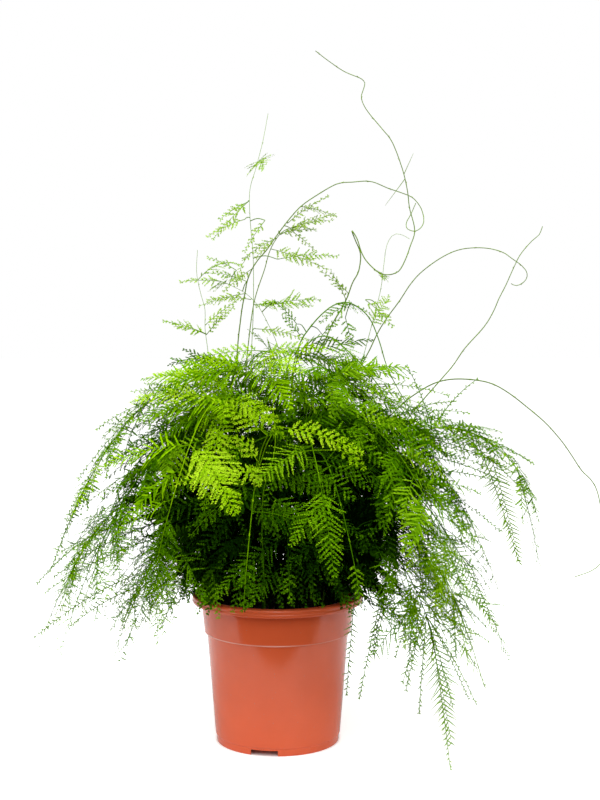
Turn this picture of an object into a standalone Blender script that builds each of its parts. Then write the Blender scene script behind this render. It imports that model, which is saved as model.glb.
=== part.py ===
"""Potted asparagus fern: a nursery pot, its soil and the stems that grow from it.

Metres, +Z up. The origin is the centre of the pot's underside, on the floor.
The front of the plant faces -Y.
"""
import math

import bmesh
import bpy
import numpy as np

MM = 0.001

# Pot
POT_HEIGHT = 148.3 * MM
RIM_RADIUS = 85.0 * MM
LIP_HEIGHT = 7.3 * MM
LEDGE_HEIGHT = 110.8 * MM
LEDGE_RADIUS = 73.1 * MM
BAND_TOP_RADIUS = 76.0 * MM
BODY_TOP_RADIUS = 70.5 * MM
BODY_FOOT_RADIUS = 62.4 * MM
FOOT_RADIUS = 60.9 * MM
FOOT_HEIGHT = 7.2 * MM
WALL = 1.5 * MM
CHANNEL_HEIGHT = 6.0 * MM
PANEL_RADIUS = 38.5 * MM
TURN_SEGMENTS = 28
NOTCH_ANGLES = (-102.0, 18.0, 138.0)
NOTCH_WIDTH = 27.0 * MM
NOTCH_HEIGHT = 5.6 * MM
DRAIN_COUNT = 6
DRAIN_RADIUS = 4.0 * MM
DRAIN_CIRCLE = 48.5 * MM

# Soil
SOIL_TOP = 137.0 * MM
SOIL_BUMP = 2.2 * MM
SEAT_GAP = 0.35 * MM
COLLAR_HEIGHT = 145.0 * MM

# Stems and fronds
STEM_DEPTH = 12.0 * MM
STEM_RADIUS = 1.35 * MM
STEM_TIP_RADIUS = 0.85 * MM
CLIMBER_RADIUS = 1.15 * MM
CLIMBER_TIP_RADIUS = 0.7 * MM
RIB_RADIUS = 0.72 * MM
HOLE_RADIUS = 1.75 * MM
CLIMBER_SLACK = 1.1 * MM
STEM_SLACK = 1.9 * MM
RIB_STEPS = 12
BARE_SHARE = 0.12
LEAFLET_SWEEP = math.radians(32.0)
LEAFLET_SAG = 0.10
CELL = 2.0 * MM
FROND_CLEARANCE = 6.6 * MM
STEM_CLEARANCE = 5.2 * MM
ROOT_FREE = 16.0 * MM
SAMPLE_STEP = 4.0 * MM
HANG_HEIGHT = 92.0 * MM
FLOOR_GAP = 5.0 * MM
MERGE_CHECK = 0.0002 * MM
SEED = 17

# Looks: colour, roughness
LOOKS = {
    "pot_plastic": ((0.64, 0.14, 0.075), 0.35),
    "potting_mix": ((0.035, 0.022, 0.014), 0.95),
    "young_foliage": ((0.28, 0.50, 0.02), 0.6),
    "foliage": ((0.09, 0.24, 0.02), 0.6),
    "dark_foliage": ((0.03, 0.11, 0.01), 0.6),
    "pale_foliage": ((0.22, 0.36, 0.08), 0.6),
    "climber": ((0.06, 0.12, 0.03), 0.55),
}

# Routes in millimetres, each from the bare end to the soil
CLIMBERS = {
    "climbing_stem_tall": [
        (37, -20, 677), (48, -10, 670), (65, 0, 660), (83, 5, 653), (85, 5, 647), (82, 5, 638),
        (83, 5, 631), (89, 5, 621), (102, 0, 605), (112, 0, 592), (122, 0, 566), (127, 0, 545),
        (129, 0, 529), (134, -4, 507), (129, -10, 491), (124, -15, 478), (117, -20, 467),
        (105, -21, 464), (96, -18, 468), (87, -10, 477), (82, -4, 486), (78, 1, 499),
        (73, 8, 507), (77, 13, 497), (82, 14, 484), (80, 12, 467), (74, 10, 456), (69, 10, 442),
        (63, 8, 430), (56, 5, 419), (50, 0, 407), (42, 0, 385), (36, 0, 350), (28, 0, 300),
        (18, 0, 220), (12, 0, 170), (10, 0, 125)],
    "climbing_stem_looped": [
        (136, 12, 534), (131, 8, 523), (126, 2, 514), (127, -8, 508), (134, -13, 506),
        (140, -9, 510), (143, -2, 517), (141, 5, 528), (135, 8, 537), (129, 8, 541),
        (118, 7, 545), (106, 5, 549), (97, 4, 553), (88, 4, 555), (74, 3, 554), (58, 0, 552),
        (37, -5, 540), (23, -8, 530), (12, -10, 518), (-1, -12, 501), (-10, -14, 488),
        (-18, -15, 479), (-24, -15, 470), (-29, -15, 458), (-31, -15, 447), (-34, -15, 432),
        (-36, -15, 417), (-38, -15, 400), (-40, -15, 370), (-40, -13, 322), (-35, -11, 260),
        (-28, -9, 200), (-23, -8, 160), (-21, -8, 125)],
    "climbing_stem_short": [
        (36, -27, 507), (20, -27, 510), (5, -26, 505), (-6, -25, 489), (-12, -25, 469),
        (-18, -25, 452), (-22, -25, 438), (-25, -25, 420), (-28, -25, 395), (-30, -26, 371),
        (-29, -26, 323), (-22, -25, 244), (-14, -24, 184), (-11, -24, 125)],
    "climbing_stem_right": [
        (230, 8, 455), (236, 9, 453), (243, 8, 457), (246, 7, 464), (241, 7, 472), (230, 7, 480),
        (221, 8, 486), (204, 9, 490), (182, 10, 489), (164, 12, 482), (144, 14, 468),
        (132, 16, 455), (121, 18, 438), (108, 20, 420), (99, 20, 405), (92, 20, 390),
        (80, 20, 366), (62, 18, 319), (44, 16, 259), (32, 15, 185), (28, 15, 125)],
    "climbing_stem_outer": [
        (259, 0, 511), (256, 0, 503), (249, 0, 497), (238, 0, 484), (231, 0, 470),
        (224, 0, 454), (217, 0, 440), (212, 0, 428), (203, 0, 413), (184, -3, 392),
        (172, -6, 375), (156, -10, 357), (131, -14, 328), (97, -16, 280), (66, -16, 220),
        (48, -15, 165), (43, -15, 125)],
    "climbing_stem_side": [
        (285, -60, 176), (304, -48, 180), (316, -36, 187), (322, -20, 199), (321, -6, 225),
        (318, 4, 248), (312, 6, 260), (302, 6, 270), (292, 6, 285), (282, 6, 299), (266, 6, 317),
        (246, 6, 334), (229, 6, 347), (213, 6, 356), (196, 6, 360), (175, 6, 361), (158, 5, 358),
        (142, 5, 350), (121, 5, 334), (96, 4, 305), (72, 4, 260), (54, 3, 205), (44, 2, 160),
        (41, 2, 125)],
}

# Stems traced over the crown and at its sides, with their number of fronds, frond length and shade
TRACED = {
    "upright_stem_left": (
        [(-9, 12, 621), (-14, 12, 595), (-21, 12, 568), (-27, 12, 547), (-27, 13, 520),
         (-24, 14, 480), (-24, 14, 430), (-26, 14, 380), (-26, 15, 300), (-18, 15, 220),
         (-10, 15, 165), (-8, 15, 125)], 2, 58, "pale_foliage"),
    "upright_stem_far_left": (
        [(-78, 0, 488), (-79, 0, 466), (-75, 0, 445), (-71, 0, 430), (-71, 0, 410),
         (-68, 0, 385), (-66, 0, 340), (-60, 0, 280), (-50, 0, 210), (-42, 0, 165),
         (-40, 0, 125)], 2, 46, "pale_foliage"),
    "upright_stem_right": (
        [(131, 24, 499), (124, 26, 503), (116, 28, 504), (109, 30, 494), (106, 30, 475),
         (103, 30, 450), (97, 30, 425), (88, 32, 390), (72, 34, 330), (52, 34, 250),
         (38, 32, 180), (34, 31, 125)], 3, 44, "pale_foliage"),
    "arching_stem_left": (
        [(-74, 30, 460), (-56, 30, 457), (-45, 30, 452), (-32, 30, 445), (-20, 30, 433),
         (-10, 30, 415), (0, 30, 392), (8, 30, 355), (10, 30, 300), (8, 30, 220),
         (6, 30, 165), (6, 30, 125)], 2, 50, "pale_foliage"),
    "arching_stem_high": (
        [(132, -44, 330), (118, -36, 352), (106, -32, 376), (98, -30, 402), (88, -30, 424),
         (71, -30, 437), (57, -30, 436), (45, -30, 428), (33, -30, 415), (22, -30, 398),
         (15, -30, 370), (12, -31, 320), (10, -32, 250), (8, -32, 180), (8, -32, 125)],
        3, 70, "foliage"),
    "arching_stem_low": (
        [(120, -84, 318), (104, -74, 348), (86, -64, 374), (68, -56, 392), (54, -50, 404),
         (42, -47, 406), (31, -46, 400), (20, -46, 384), (13, -46, 350), (14, -46, 290),
         (20, -46, 215), (22, -46, 160), (22, -46, 125)], 3, 70, "foliage"),
    "hanging_stem_front": (
        [(152, -118, 92), (148, -112, 118), (140, -104, 148), (126, -92, 180), (108, -78, 205),
         (88, -64, 214), (70, -50, 206), (58, -40, 184), (53, -36, 160), (52, -36, 125)],
        4, 86, "foliage"),
    "hanging_stem_right": (
        [(176, -52, 140), (168, -50, 158), (156, -46, 180), (138, -40, 202), (116, -33, 220),
         (94, -26, 222), (76, -21, 206), (64, -19, 180), (61, -18, 160), (60, -18, 125)],
        4, 84, "foliage"),
    "trailing_stem_right": (
        [(238, -36, 256), (230, -35, 280), (208, -34, 300), (175, -33, 316), (138, -32, 312),
         (104, -31, 282), (78, -31, 222), (46, -32, 165), (40, -32, 125)], 3, 74, "foliage"),
    "trailing_stem_left": (
        [(-204, -24, 170), (-184, -22, 206), (-156, -20, 236), (-120, -17, 250),
         (-86, -15, 236), (-66, -13, 200), (-56, -12, 160), (-55, -12, 125)], 3, 92, "foliage"),
}
BARE_TIPS = ("upright_stem_left", "upright_stem_far_left", "upright_stem_right",
             "arching_stem_left")
FREE_HANGING = ("hanging_stem_front", "hanging_stem_right")

# Sprays traced on single stems: stem, root, tip and width in millimetres
SPRAYS = (
    ("upright_stem_left", (-27, 12, 536), (-66, 8, 502), 13),
    ("upright_stem_left", (-24, 14, 433), (34, 34, 440), 15),
    ("climbing_stem_short", (0, -25, 502), (-33, -44, 484), 10),
    ("climbing_stem_short", (14, -27, 509), (52, -58, 522), 14),
    ("climbing_stem_short", (-6, -25, 488), (50, -46, 476), 16),
    ("climbing_stem_looped", (24, -8, 531), (58, 20, 527), 13),
    ("climbing_stem_looped", (-24, -15, 470), (-52, -30, 452), 11),
    ("arching_stem_left", (-32, 30, 445), (-80, 44, 438), 12),
    ("arching_stem_left", (-56, 30, 457), (-96, 20, 462), 10),
    ("upright_stem_far_left", (-70, 0, 405), (-108, -14, 424), 14),
    ("upright_stem_far_left", (-71, 0, 415), (-44, 4, 440), 11),
    ("climbing_stem_tall", (70, 10, 444), (46, 26, 470), 9),
)

# Twigs of the tallest stem in millimetres: root, tip
TWIGS = (
    ("climbing_stem_tall", (123, 0, 560), (133, 8, 582)),
    ("climbing_stem_tall", (124, 0, 556), (105, -6, 531)),
)

# Tiers: name, count, first azimuth, start, reach, apex, end, frond length, side fronds
TIERS = (
    ("crown_stem", 6, 20.0, 29, 112, 368, 336, 86, 3),
    ("upper_stem", 8, 8.0, 43, 172, 336, 268, 90, 3),
    ("middle_stem", 8, 25.0, 54, 172, 292, 205, 90, 3),
    ("lower_stem", 8, 12.0, 64, 144, 240, 176, 80, 3),
    ("skirt_stem", 7, 270.0, 61, 104, 200, 178, 62, 3),
)
YOUNG_STEMS = {"crown_stem_4", "crown_stem_5", "upper_stem_6", "middle_stem_6"}
DARK_TIERS = ("lower_stem", "skirt_stem")


def unit(vectors):
    """Vectors scaled to length one."""
    vectors = np.asarray(vectors, float)
    return vectors / np.linalg.norm(vectors, axis=-1, keepdims=True)


def smooth_route(points, spacing):
    """A Catmull-Rom curve through the points, sampled about every spacing."""
    points = np.asarray(points, float)
    ends = np.vstack([2 * points[0] - points[1], points, 2 * points[-1] - points[-2]])
    samples = [points[0]]
    for a, b, c, d in zip(ends, ends[1:], ends[2:], ends[3:]):
        steps = max(1, round(float(np.linalg.norm(c - b)) / spacing))
        for t in np.arange(1, steps + 1) / steps:
            samples.append(0.5 * (2 * b + (c - a) * t + (2 * a - 5 * b + 4 * c - d) * t ** 2
                                  + (3 * b - a - 3 * c + d) * t ** 3))
    return np.array(samples)


def even_route(points, spacing):
    """The route at points spaced evenly along it."""
    runs = np.linalg.norm(np.diff(points, axis=0), axis=1)
    along = np.concatenate([[0.0], np.cumsum(runs)])
    wanted = np.linspace(0.0, along[-1], max(2, round(along[-1] / spacing) + 1))
    return np.stack([np.interp(wanted, along, points[:, k]) for k in range(3)], axis=1)


def spare_stem(route, slack):
    """The foot and collar of a stem's route, and the fewest points of the rest."""
    return np.vstack([route[0], spare_route(route[1:], slack)])


def spare_route(points, slack):
    """The fewest of the points that keep the route within the slack."""
    first, last = points[0], points[-1]
    chord = last - first
    share = np.clip((points - first) @ chord / float(chord @ chord), 0.0, 1.0)
    off = np.linalg.norm(points - first - share[:, None] * chord, axis=1)
    worst = int(np.argmax(off))
    if off[worst] <= slack or len(points) < 3:
        return np.array([first, last])
    return np.vstack([spare_route(points[:worst + 1], slack)[:-1],
                      spare_route(points[worst:], slack)])


def arch(azimuth, start, reach, apex, end, sway):
    """A stem's route: up from the soil, over its apex and down to its end."""
    out = np.array([math.cos(azimuth), math.sin(azimuth), 0.0])
    aside = np.array([-out[1], out[0], 0.0])
    peak = (apex - 0.091 * COLLAR_HEIGHT - 0.166 * end) / 0.743
    controls = [out * start + [0, 0, COLLAR_HEIGHT],
                out * (start + 0.04 * reach) + [0, 0, peak],
                out * (0.62 * reach) + aside * 0.6 * sway + [0, 0, peak],
                out * reach + aside * sway + [0, 0, end]]
    t = np.linspace(0.0, 1.0, 60)[:, None]
    return rooted((1 - t) ** 3 * controls[0] + 3 * (1 - t) ** 2 * t * controls[1]
                  + 3 * (1 - t) * t ** 2 * controls[2] + t ** 3 * controls[3])


def rooted(points):
    """The route with its part in the soil made upright, so that it fits a plain hole."""
    above = points[points[:, 2] >= COLLAR_HEIGHT]
    foot = above[0] * [1, 1, 0] + [0, 0, SOIL_TOP - STEM_DEPTH]
    collar = above[0] * [1, 1, 0] + [0, 0, COLLAR_HEIGHT]
    return np.vstack([foot, collar, above[1:]])


class Frond:
    """A flat spray: a drooping rib with leaflets to each side that shorten to its tip."""

    def __init__(self, root, along, up, length, width, droop):
        self.root = np.asarray(root, float)
        self.length = length
        self.width = width
        points = [self.root]
        ways = []
        for step in range(RIB_STEPS):
            way = unit(along + np.array([0, 0, -droop]) * (step + 0.5) / RIB_STEPS)
            ways.append(way)
            points.append(points[-1] + way * length / RIB_STEPS)
        ways.append(ways[-1])
        self.points = np.array(points)
        self.ways = np.array(ways)
        level = up - self.ways * (self.ways @ up)[:, None]
        self.ups = unit(level)
        self.sides = np.cross(self.ways, self.ups)

    def shift_root(self, root):
        """Moves the frond so that it starts at a point on its stem."""
        self.points = self.points + (root - self.root)
        self.root = root

    def station(self, share):
        """Point, way, up and side at a share of the rib's length."""
        place = min(max(share, 0.0), 1.0) * RIB_STEPS
        low = min(int(place), RIB_STEPS - 1)
        mix = place - low
        blend = [row[low] * (1 - mix) + row[low + 1] * mix
                 for row in (self.points, self.ways, self.ups, self.sides)]
        return blend[0], unit(blend[1]), unit(blend[2]), unit(blend[3])

    def leaflet_length(self, share):
        """How far a leaflet that grows at this share of the rib reaches."""
        if share < BARE_SHARE:
            return 0.0
        swell = min(1.0, 0.6 + 0.4 * (share - BARE_SHARE) / 0.15)
        return self.width * swell * (1.02 - share) ** 0.72

    def leaflet_tip(self, share, hand):
        """The tip of the leaflet on one side."""
        point, way, up, side = self.station(share)
        reach = self.leaflet_length(share)
        spread = side * hand * math.cos(LEAFLET_SWEEP) + way * math.sin(LEAFLET_SWEEP)
        return point + reach * (spread - up * LEAFLET_SAG)

    def samples(self):
        """Points all over the frond, close enough together to keep others out."""
        found = []
        count = max(4, round(self.length / SAMPLE_STEP))
        for share in np.linspace(0.0, 1.0, count + 1):
            point = self.station(share)[0]
            found.append(point)
            reach = self.leaflet_length(share)
            parts = max(1, round(reach / SAMPLE_STEP))
            if reach > 0.0:
                for hand in (-1, 1):
                    tip = self.leaflet_tip(share, hand)
                    found.extend(point + (tip - point) * k / parts for k in range(1, parts + 1))
        return np.array(found)


def ball_cells(radius):
    """The cells within a radius of a cell."""
    reach = int(radius / CELL) + 1
    grid = np.arange(-reach, reach + 1)
    ball = np.stack(np.meshgrid(grid, grid, grid, indexing="ij"), -1).reshape(-1, 3)
    return ball[np.linalg.norm(ball, axis=1) * CELL <= radius]


class Room:
    """Remembers which stem holds each small cell of space round the plant."""

    def __init__(self):
        self.low = np.array([-0.34, -0.34, -0.01])
        self.shape = np.ceil((np.array([0.40, 0.34, 0.73]) - self.low) / CELL).astype(int)
        self.owner = np.zeros(self.shape, np.int16)

    def cells(self, points):
        """The cells that hold the points."""
        places = ((np.asarray(points) - self.low) / CELL).astype(int)
        return np.clip(places, 0, self.shape - 1)

    def take(self, points, owner, radius):
        """Claims every cell within the radius of the points that nobody holds."""
        places = np.unique(self.cells(points), axis=0)
        near = (places[:, None, :] + ball_cells(radius)[None, :, :]).reshape(-1, 3)
        index = tuple(np.clip(near, 0, self.shape - 1).T)
        held = self.owner[index]
        self.owner[index] = np.where(held == 0, owner, held)

    def clashes(self, points, owner):
        """How many points lie in others' cells, and how many in the stem's own."""
        held = self.owner[tuple(self.cells(points).T)]
        return int(np.sum((held != 0) & (held != owner))), int(np.sum(held == owner))


class Stem:
    """One stem with its fronds: the route runs from the soil to the free end."""

    def __init__(self, name, route, radii, shade, fronds, frond_length):
        self.name = name
        self.route = route
        self.radii = radii
        self.shade = shade
        self.wanted = fronds
        self.frond_length = frond_length
        self.fronds = []
        self.twigs = []
        self.tip = None
        self.slack = CLIMBER_SLACK if shade == "climber" else STEM_SLACK


def climbers():
    """The bare climbing stems along their routes."""
    radii = (CLIMBER_RADIUS, CLIMBER_TIP_RADIUS)
    return [Stem(name, rooted(smooth_route(np.array(route[::-1]) * MM, 4 * MM)), radii,
                 "climber", 0, 0.0) for name, route in CLIMBERS.items()]


def traced_stems():
    """The stems that stand out of the bush or hang below it."""
    made = []
    for name, (route, fronds, length, shade) in TRACED.items():
        line = rooted(smooth_route(np.array(route[::-1]) * MM, 4 * MM))
        radii = (STEM_RADIUS, STEM_TIP_RADIUS)
        made.append(Stem(name, line, radii, shade, fronds, length * MM))
    return made


def end_height(azimuth, end):
    """Stems end higher in front of the pot and lower at its sides."""
    front = max(0.0, -math.sin(azimuth)) ** 2
    sideways = math.cos(azimuth) ** 2
    return end + front * 18 * MM - sideways * 30 * MM


def lowest_foliage(points, hang_height):
    """How low a frond may hang: clear of the pot, and of the front of it."""
    x, y = points[:, 0], points[:, 1]
    before = (np.abs(x) < RIM_RADIUS + 6 * MM) & (y < 0.0) & (hang_height > FLOOR_GAP)
    over_rim = POT_HEIGHT - 3 * MM + 0.23 * np.maximum(0.0, -RIM_RADIUS - y)
    low = np.where(before, over_rim, hang_height)
    return np.where(np.hypot(x, y) < RIM_RADIUS + 5 * MM, POT_HEIGHT + 3 * MM, low)


def tier_stems(room, first_owner):
    """The arching stems, each turned a little until it is clear of the others."""
    made = []
    draw = np.random.default_rng(SEED)
    for tier, count, first, start, reach, apex, end, length, fronds in TIERS:
        for number in range(count):
            owner = first_owner + len(made)
            for attempt in range(60):
                loose = 6 + 0.5 * attempt
                azimuth = math.radians(first + 360.0 * number / count
                                       + draw.uniform(-loose, loose))
                wide = 1.0 + 0.12 * math.cos(azimuth) ** 2
                line = arch(azimuth, start * MM * draw.uniform(0.84, 1.04),
                            reach * MM * wide * draw.uniform(0.88, 1.1),
                            apex * MM * draw.uniform(0.94, 1.04),
                            end_height(azimuth, end * MM) * draw.uniform(0.94, 1.06),
                            draw.uniform(-30, 30) * MM)
                if room.clashes(even_route(line, 2 * MM), owner)[0] == 0:
                    break
            else:
                continue
            name = f"{tier}_{number + 1}"
            shade = "dark_foliage" if tier in DARK_TIERS else "foliage"
            if name in YOUNG_STEMS:
                shade = "young_foliage"
            stem = Stem(name, line, (STEM_RADIUS, STEM_TIP_RADIUS), shade, fronds, length * MM)
            room.take(even_route(line, 2 * MM), owner, STEM_CLEARANCE)
            made.append(stem)
    return made


def tip_frond(stem, size):
    """The frond that carries a stem on past its end."""
    along = unit(stem.route[-1] - stem.route[-2])
    up = np.array([along[0], along[1], 0.0]) * max(0.0, -along[2]) + [0.0, 0.0, 0.6]
    length = stem.frond_length * size
    return Frond(stem.route[-1], along, up, length, length * 0.34, 0.5)


def traced_spray(stem, root, tip, width):
    """A spray from the nearest point of its stem to its traced tip."""
    near = stem.route[np.argmin(np.linalg.norm(stem.route - np.array(root) * MM, axis=1))]
    way = np.array(tip) * MM - near
    length = float(np.linalg.norm(way))
    up = np.array([0.0, -0.6, 0.8])
    return Frond(near, unit(way), up, length, width * MM, 0.25)


def side_frond(stem, share, hand, draw, size):
    """A frond that leaves the stem to one side at a share of its length."""
    place = share * (len(stem.route) - 1)
    low = min(int(place), len(stem.route) - 2)
    root = stem.route[low] + (stem.route[low + 1] - stem.route[low]) * (place - low)
    along = unit(stem.route[low + 1] - stem.route[low])
    level = np.array([0.0, 0.0, 1.0])
    aside = np.cross(along, level)
    if np.linalg.norm(aside) < 0.2:
        turn = draw.uniform(0.0, 2 * math.pi)
        aside = np.array([math.cos(turn), math.sin(turn), 0.0])
    aside = unit(aside)
    spread = math.radians(draw.uniform(38, 78))
    lift = draw.uniform(-0.25, 0.35)
    way = unit(along * math.cos(spread) + aside * hand * math.sin(spread) + level * lift)
    outward = unit(root * [1, 1, 0] + [0, -1 * MM, 0])
    up = unit(level * 0.8 + outward * 0.6 + aside * draw.uniform(-0.3, 0.3))
    length = stem.frond_length * size * draw.uniform(0.85, 1.12)
    return Frond(root, way, up, length, length * draw.uniform(0.33, 0.42), draw.uniform(0.3, 1.1))


def fits(frond, room, owner, stem):
    """Whether the frond is clear of every other stem and hangs no lower than it may."""
    points = frond.samples()
    hang_height = FLOOR_GAP if stem.name in FREE_HANGING else HANG_HEIGHT
    high = bool(np.all(points[:, 2] >= lowest_foliage(points, hang_height)))
    return high and room.clashes(points, owner)[0] == 0


def grow_tips(stems, room):
    """Carries each leafy stem on past its end with a frond, as large as fits."""
    for owner, stem in enumerate(stems, start=1):
        if stem.wanted == 0 or stem.name in BARE_TIPS or stem.tip is not None:
            continue
        for size in (1.0, 0.85, 0.7, 0.55, 0.4):
            frond = tip_frond(stem, size)
            if fits(frond, room, owner, stem):
                stem.tip = frond
                room.take(frond.samples(), owner, FROND_CLEARANCE)
                break


def grow_sides(stems, room):
    """Gives each stem its side fronds, in rounds, where there is room for them."""
    draw = np.random.default_rng(SEED + 1)
    for turn in range(max(stem.wanted for stem in stems)):
        for owner, stem in enumerate(stems, start=1):
            if turn >= stem.wanted:
                continue
            share = 0.90 - 0.50 * turn / max(1, stem.wanted - 1)
            best = None
            for attempt in range(48):
                hand = 1 if (turn + owner + (attempt > 20)) % 2 else -1
                size = 1.0 - 0.6 * attempt / 47
                place = min(0.95, max(0.3, share + draw.uniform(-0.07, 0.07)))
                frond = side_frond(stem, place, hand, draw, size)
                if not fits(frond, room, owner, stem):
                    continue
                points = frond.samples()
                away = points[np.linalg.norm(points - frond.root, axis=1) > ROOT_FREE]
                own = room.clashes(away, owner)[1] if len(away) else 0
                if best is None or own < best[0]:
                    best = (own, frond)
                if own == 0:
                    break
            if best is not None:
                stem.fronds.append(best[1])
                room.take(best[1].samples(), owner, FROND_CLEARANCE)


def plan_plant():
    """Every stem with its fronds, none of them within reach of another."""
    room = Room()
    stems = climbers() + traced_stems()
    for owner, stem in enumerate(stems, start=1):
        room.take(even_route(stem.route, 2 * MM), owner, STEM_CLEARANCE)
    for owner, stem in enumerate(stems, start=1):
        for name, root, tip, width in SPRAYS:
            if name == stem.name:
                frond = traced_spray(stem, root, tip, width)
                stem.fronds.append(frond)
                room.take(frond.samples(), owner, FROND_CLEARANCE)
        for name, root, tip in TWIGS:
            if name == stem.name:
                near = np.argmin(np.linalg.norm(stem.route - np.array(root) * MM, axis=1))
                stem.twigs.append(np.array([stem.route[near], np.array(tip) * MM]))
                room.take(even_route(stem.twigs[-1], 2 * MM), owner, STEM_CLEARANCE)
    grow_tips(stems, room)
    stems += tier_stems(room, len(stems) + 1)
    grow_tips(stems, room)
    grow_sides(stems, room)
    return stems


def material(name):
    """The Principled material of one of the looks."""
    made = bpy.data.materials.get(name)
    if made is None:
        colour, roughness = LOOKS[name]
        made = bpy.data.materials.new(name)
        made.use_nodes = True
        shader = made.node_tree.nodes["Principled BSDF"]
        shader.inputs["Base Color"].default_value = (*colour, 1.0)
        shader.inputs["Roughness"].default_value = roughness
        shader.inputs["Metallic"].default_value = 0.0
        made.diffuse_color = (*colour, 1.0)
    return made


def new_object(name, mesh, look):
    """An object in the scene with its material."""
    made = bpy.data.objects.new(name, mesh)
    bpy.context.scene.collection.objects.link(made)
    if look is not None:
        mesh.materials.append(material(look))
    return made


def mesh_from(name, vertices, faces, turn_out=True):
    """A mesh whose faces point outwards."""
    mesh = bpy.data.meshes.new(name)
    mesh.from_pydata([tuple(v) for v in vertices], [], faces)
    if turn_out:
        body = bmesh.new()
        body.from_mesh(mesh)
        bmesh.ops.recalc_face_normals(body, faces=body.faces)
        body.to_mesh(mesh)
        body.free()
    return mesh


def turned(name, profile, segments, top=None):
    """A closed body turned round Z from (radius, height) points, all triangles."""
    vertices = []
    rings = []
    for index, (radius, height) in enumerate(profile):
        if radius == 0.0:
            rings.append([len(vertices)] * segments)
            vertices.append((0.0, 0.0, height))
            continue
        rings.append([len(vertices) + k for k in range(segments)])
        for k in range(segments):
            angle = 2 * math.pi * k / segments
            x = radius * math.cos(angle)
            y = radius * math.sin(angle)
            lift = top(x, y) if top is not None and index >= top.first else 0.0
            vertices.append((x, y, height + lift))
    faces = []
    pairs = list(zip(rings, rings[1:]))
    if profile[0][0] != 0.0:
        pairs.append((rings[-1], rings[0]))
    for lower, upper in pairs:
        for k in range(segments):
            following = (k + 1) % segments
            corners = (lower[k], lower[following], upper[following], upper[k])
            if lower[k] != lower[following]:
                faces.append((corners[0], corners[1], corners[2]))
            if upper[k] != upper[following]:
                faces.append((corners[0], corners[2], corners[3]))
    return mesh_from(name, vertices, faces)


def pot_profile():
    """The pot's section: underside, outer wall, rim, inner wall and floor."""
    skirt = POT_HEIGHT - LIP_HEIGHT
    flange = POT_HEIGHT - WALL
    roof = CHANNEL_HEIGHT + WALL
    return [
        (0.0, 0.0),
        (PANEL_RADIUS, 0.0),
        (PANEL_RADIUS + 1.0 * MM, CHANNEL_HEIGHT),
        (FOOT_RADIUS - 3.4 * MM, CHANNEL_HEIGHT),
        (FOOT_RADIUS - 2.2 * MM, 0.0),
        (FOOT_RADIUS, 0.0),
        (FOOT_RADIUS + 0.5 * MM, FOOT_HEIGHT),
        (BODY_FOOT_RADIUS, FOOT_HEIGHT + 0.7 * MM),
        (BODY_TOP_RADIUS, LEDGE_HEIGHT - 0.5 * MM),
        (LEDGE_RADIUS, LEDGE_HEIGHT + 0.3 * MM),
        (BAND_TOP_RADIUS - 0.4 * MM, skirt - 3.0 * MM),
        (BAND_TOP_RADIUS, flange),
        (RIM_RADIUS - WALL - 0.2 * MM, flange),
        (RIM_RADIUS - WALL, skirt),
        (RIM_RADIUS - 0.2 * MM, skirt),
        (RIM_RADIUS, POT_HEIGHT - 1.2 * MM),
        (RIM_RADIUS - 1.0 * MM, POT_HEIGHT),
        (BAND_TOP_RADIUS - 0.4 * MM, POT_HEIGHT),
        (BAND_TOP_RADIUS - WALL - 0.4 * MM, POT_HEIGHT - 1.4 * MM),
        (LEDGE_RADIUS - WALL, LEDGE_HEIGHT + 1.6 * MM),
        (BODY_TOP_RADIUS - WALL, LEDGE_HEIGHT + 0.5 * MM),
        (BODY_FOOT_RADIUS - WALL, roof),
        (PANEL_RADIUS - 0.5 * MM, roof),
        (PANEL_RADIUS - WALL, WALL),
        (0.0, WALL),
    ]


def box_cutter(name, centre, size, angle):
    """A block that cuts a notch, turned about Z."""
    cosine = math.cos(angle)
    sine = math.sin(angle)
    vertices = []
    for x in (-0.5, 0.5):
        for y in (-0.5, 0.5):
            for z in (-0.5, 0.5):
                dx = x * size[0]
                dy = y * size[1]
                vertices.append((centre[0] + dx * cosine - dy * sine,
                                 centre[1] + dx * sine + dy * cosine,
                                 centre[2] + z * size[2]))
    faces = [(0, 1, 3, 2), (4, 6, 7, 5), (0, 4, 5, 1), (2, 3, 7, 6), (0, 2, 6, 4), (1, 5, 7, 3)]
    return new_object(name, mesh_from(name, vertices, faces), None)


def rod_cutter(name, centre, radius, low, high, sides, turn=0.0):
    """An upright prism that cuts a hole."""
    angles = [turn + 2 * math.pi * k / sides for k in range(sides)]
    vertices = [(centre[0] + radius * math.cos(a), centre[1] + radius * math.sin(a), z)
                for z in (low, high) for a in angles]
    faces = [tuple(range(sides)), tuple(range(sides, 2 * sides))]
    for k in range(sides):
        following = (k + 1) % sides
        faces.append((k, following, sides + following, sides + k))
    return new_object(name, mesh_from(name, vertices, faces), None)


def joined(body, others, operation, solver):
    """Applies one Boolean of the body with all the others, which are then removed."""
    if not others:
        return
    group = bpy.data.collections.new(body.name + "_pieces")
    for other in others:
        bpy.context.scene.collection.objects.unlink(other)
        group.objects.link(other)
    bpy.context.scene.collection.children.link(group)
    step = body.modifiers.new("join", "BOOLEAN")
    step.operation = operation
    step.operand_type = "COLLECTION"
    step.collection = group
    step.solver = solver
    bpy.context.view_layer.update()
    graph = bpy.context.evaluated_depsgraph_get()
    result = bpy.data.meshes.new_from_object(body.evaluated_get(graph))
    body.modifiers.clear()
    body.data = result
    for other in others:
        bpy.data.objects.remove(other)
    bpy.data.collections.remove(group)


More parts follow.
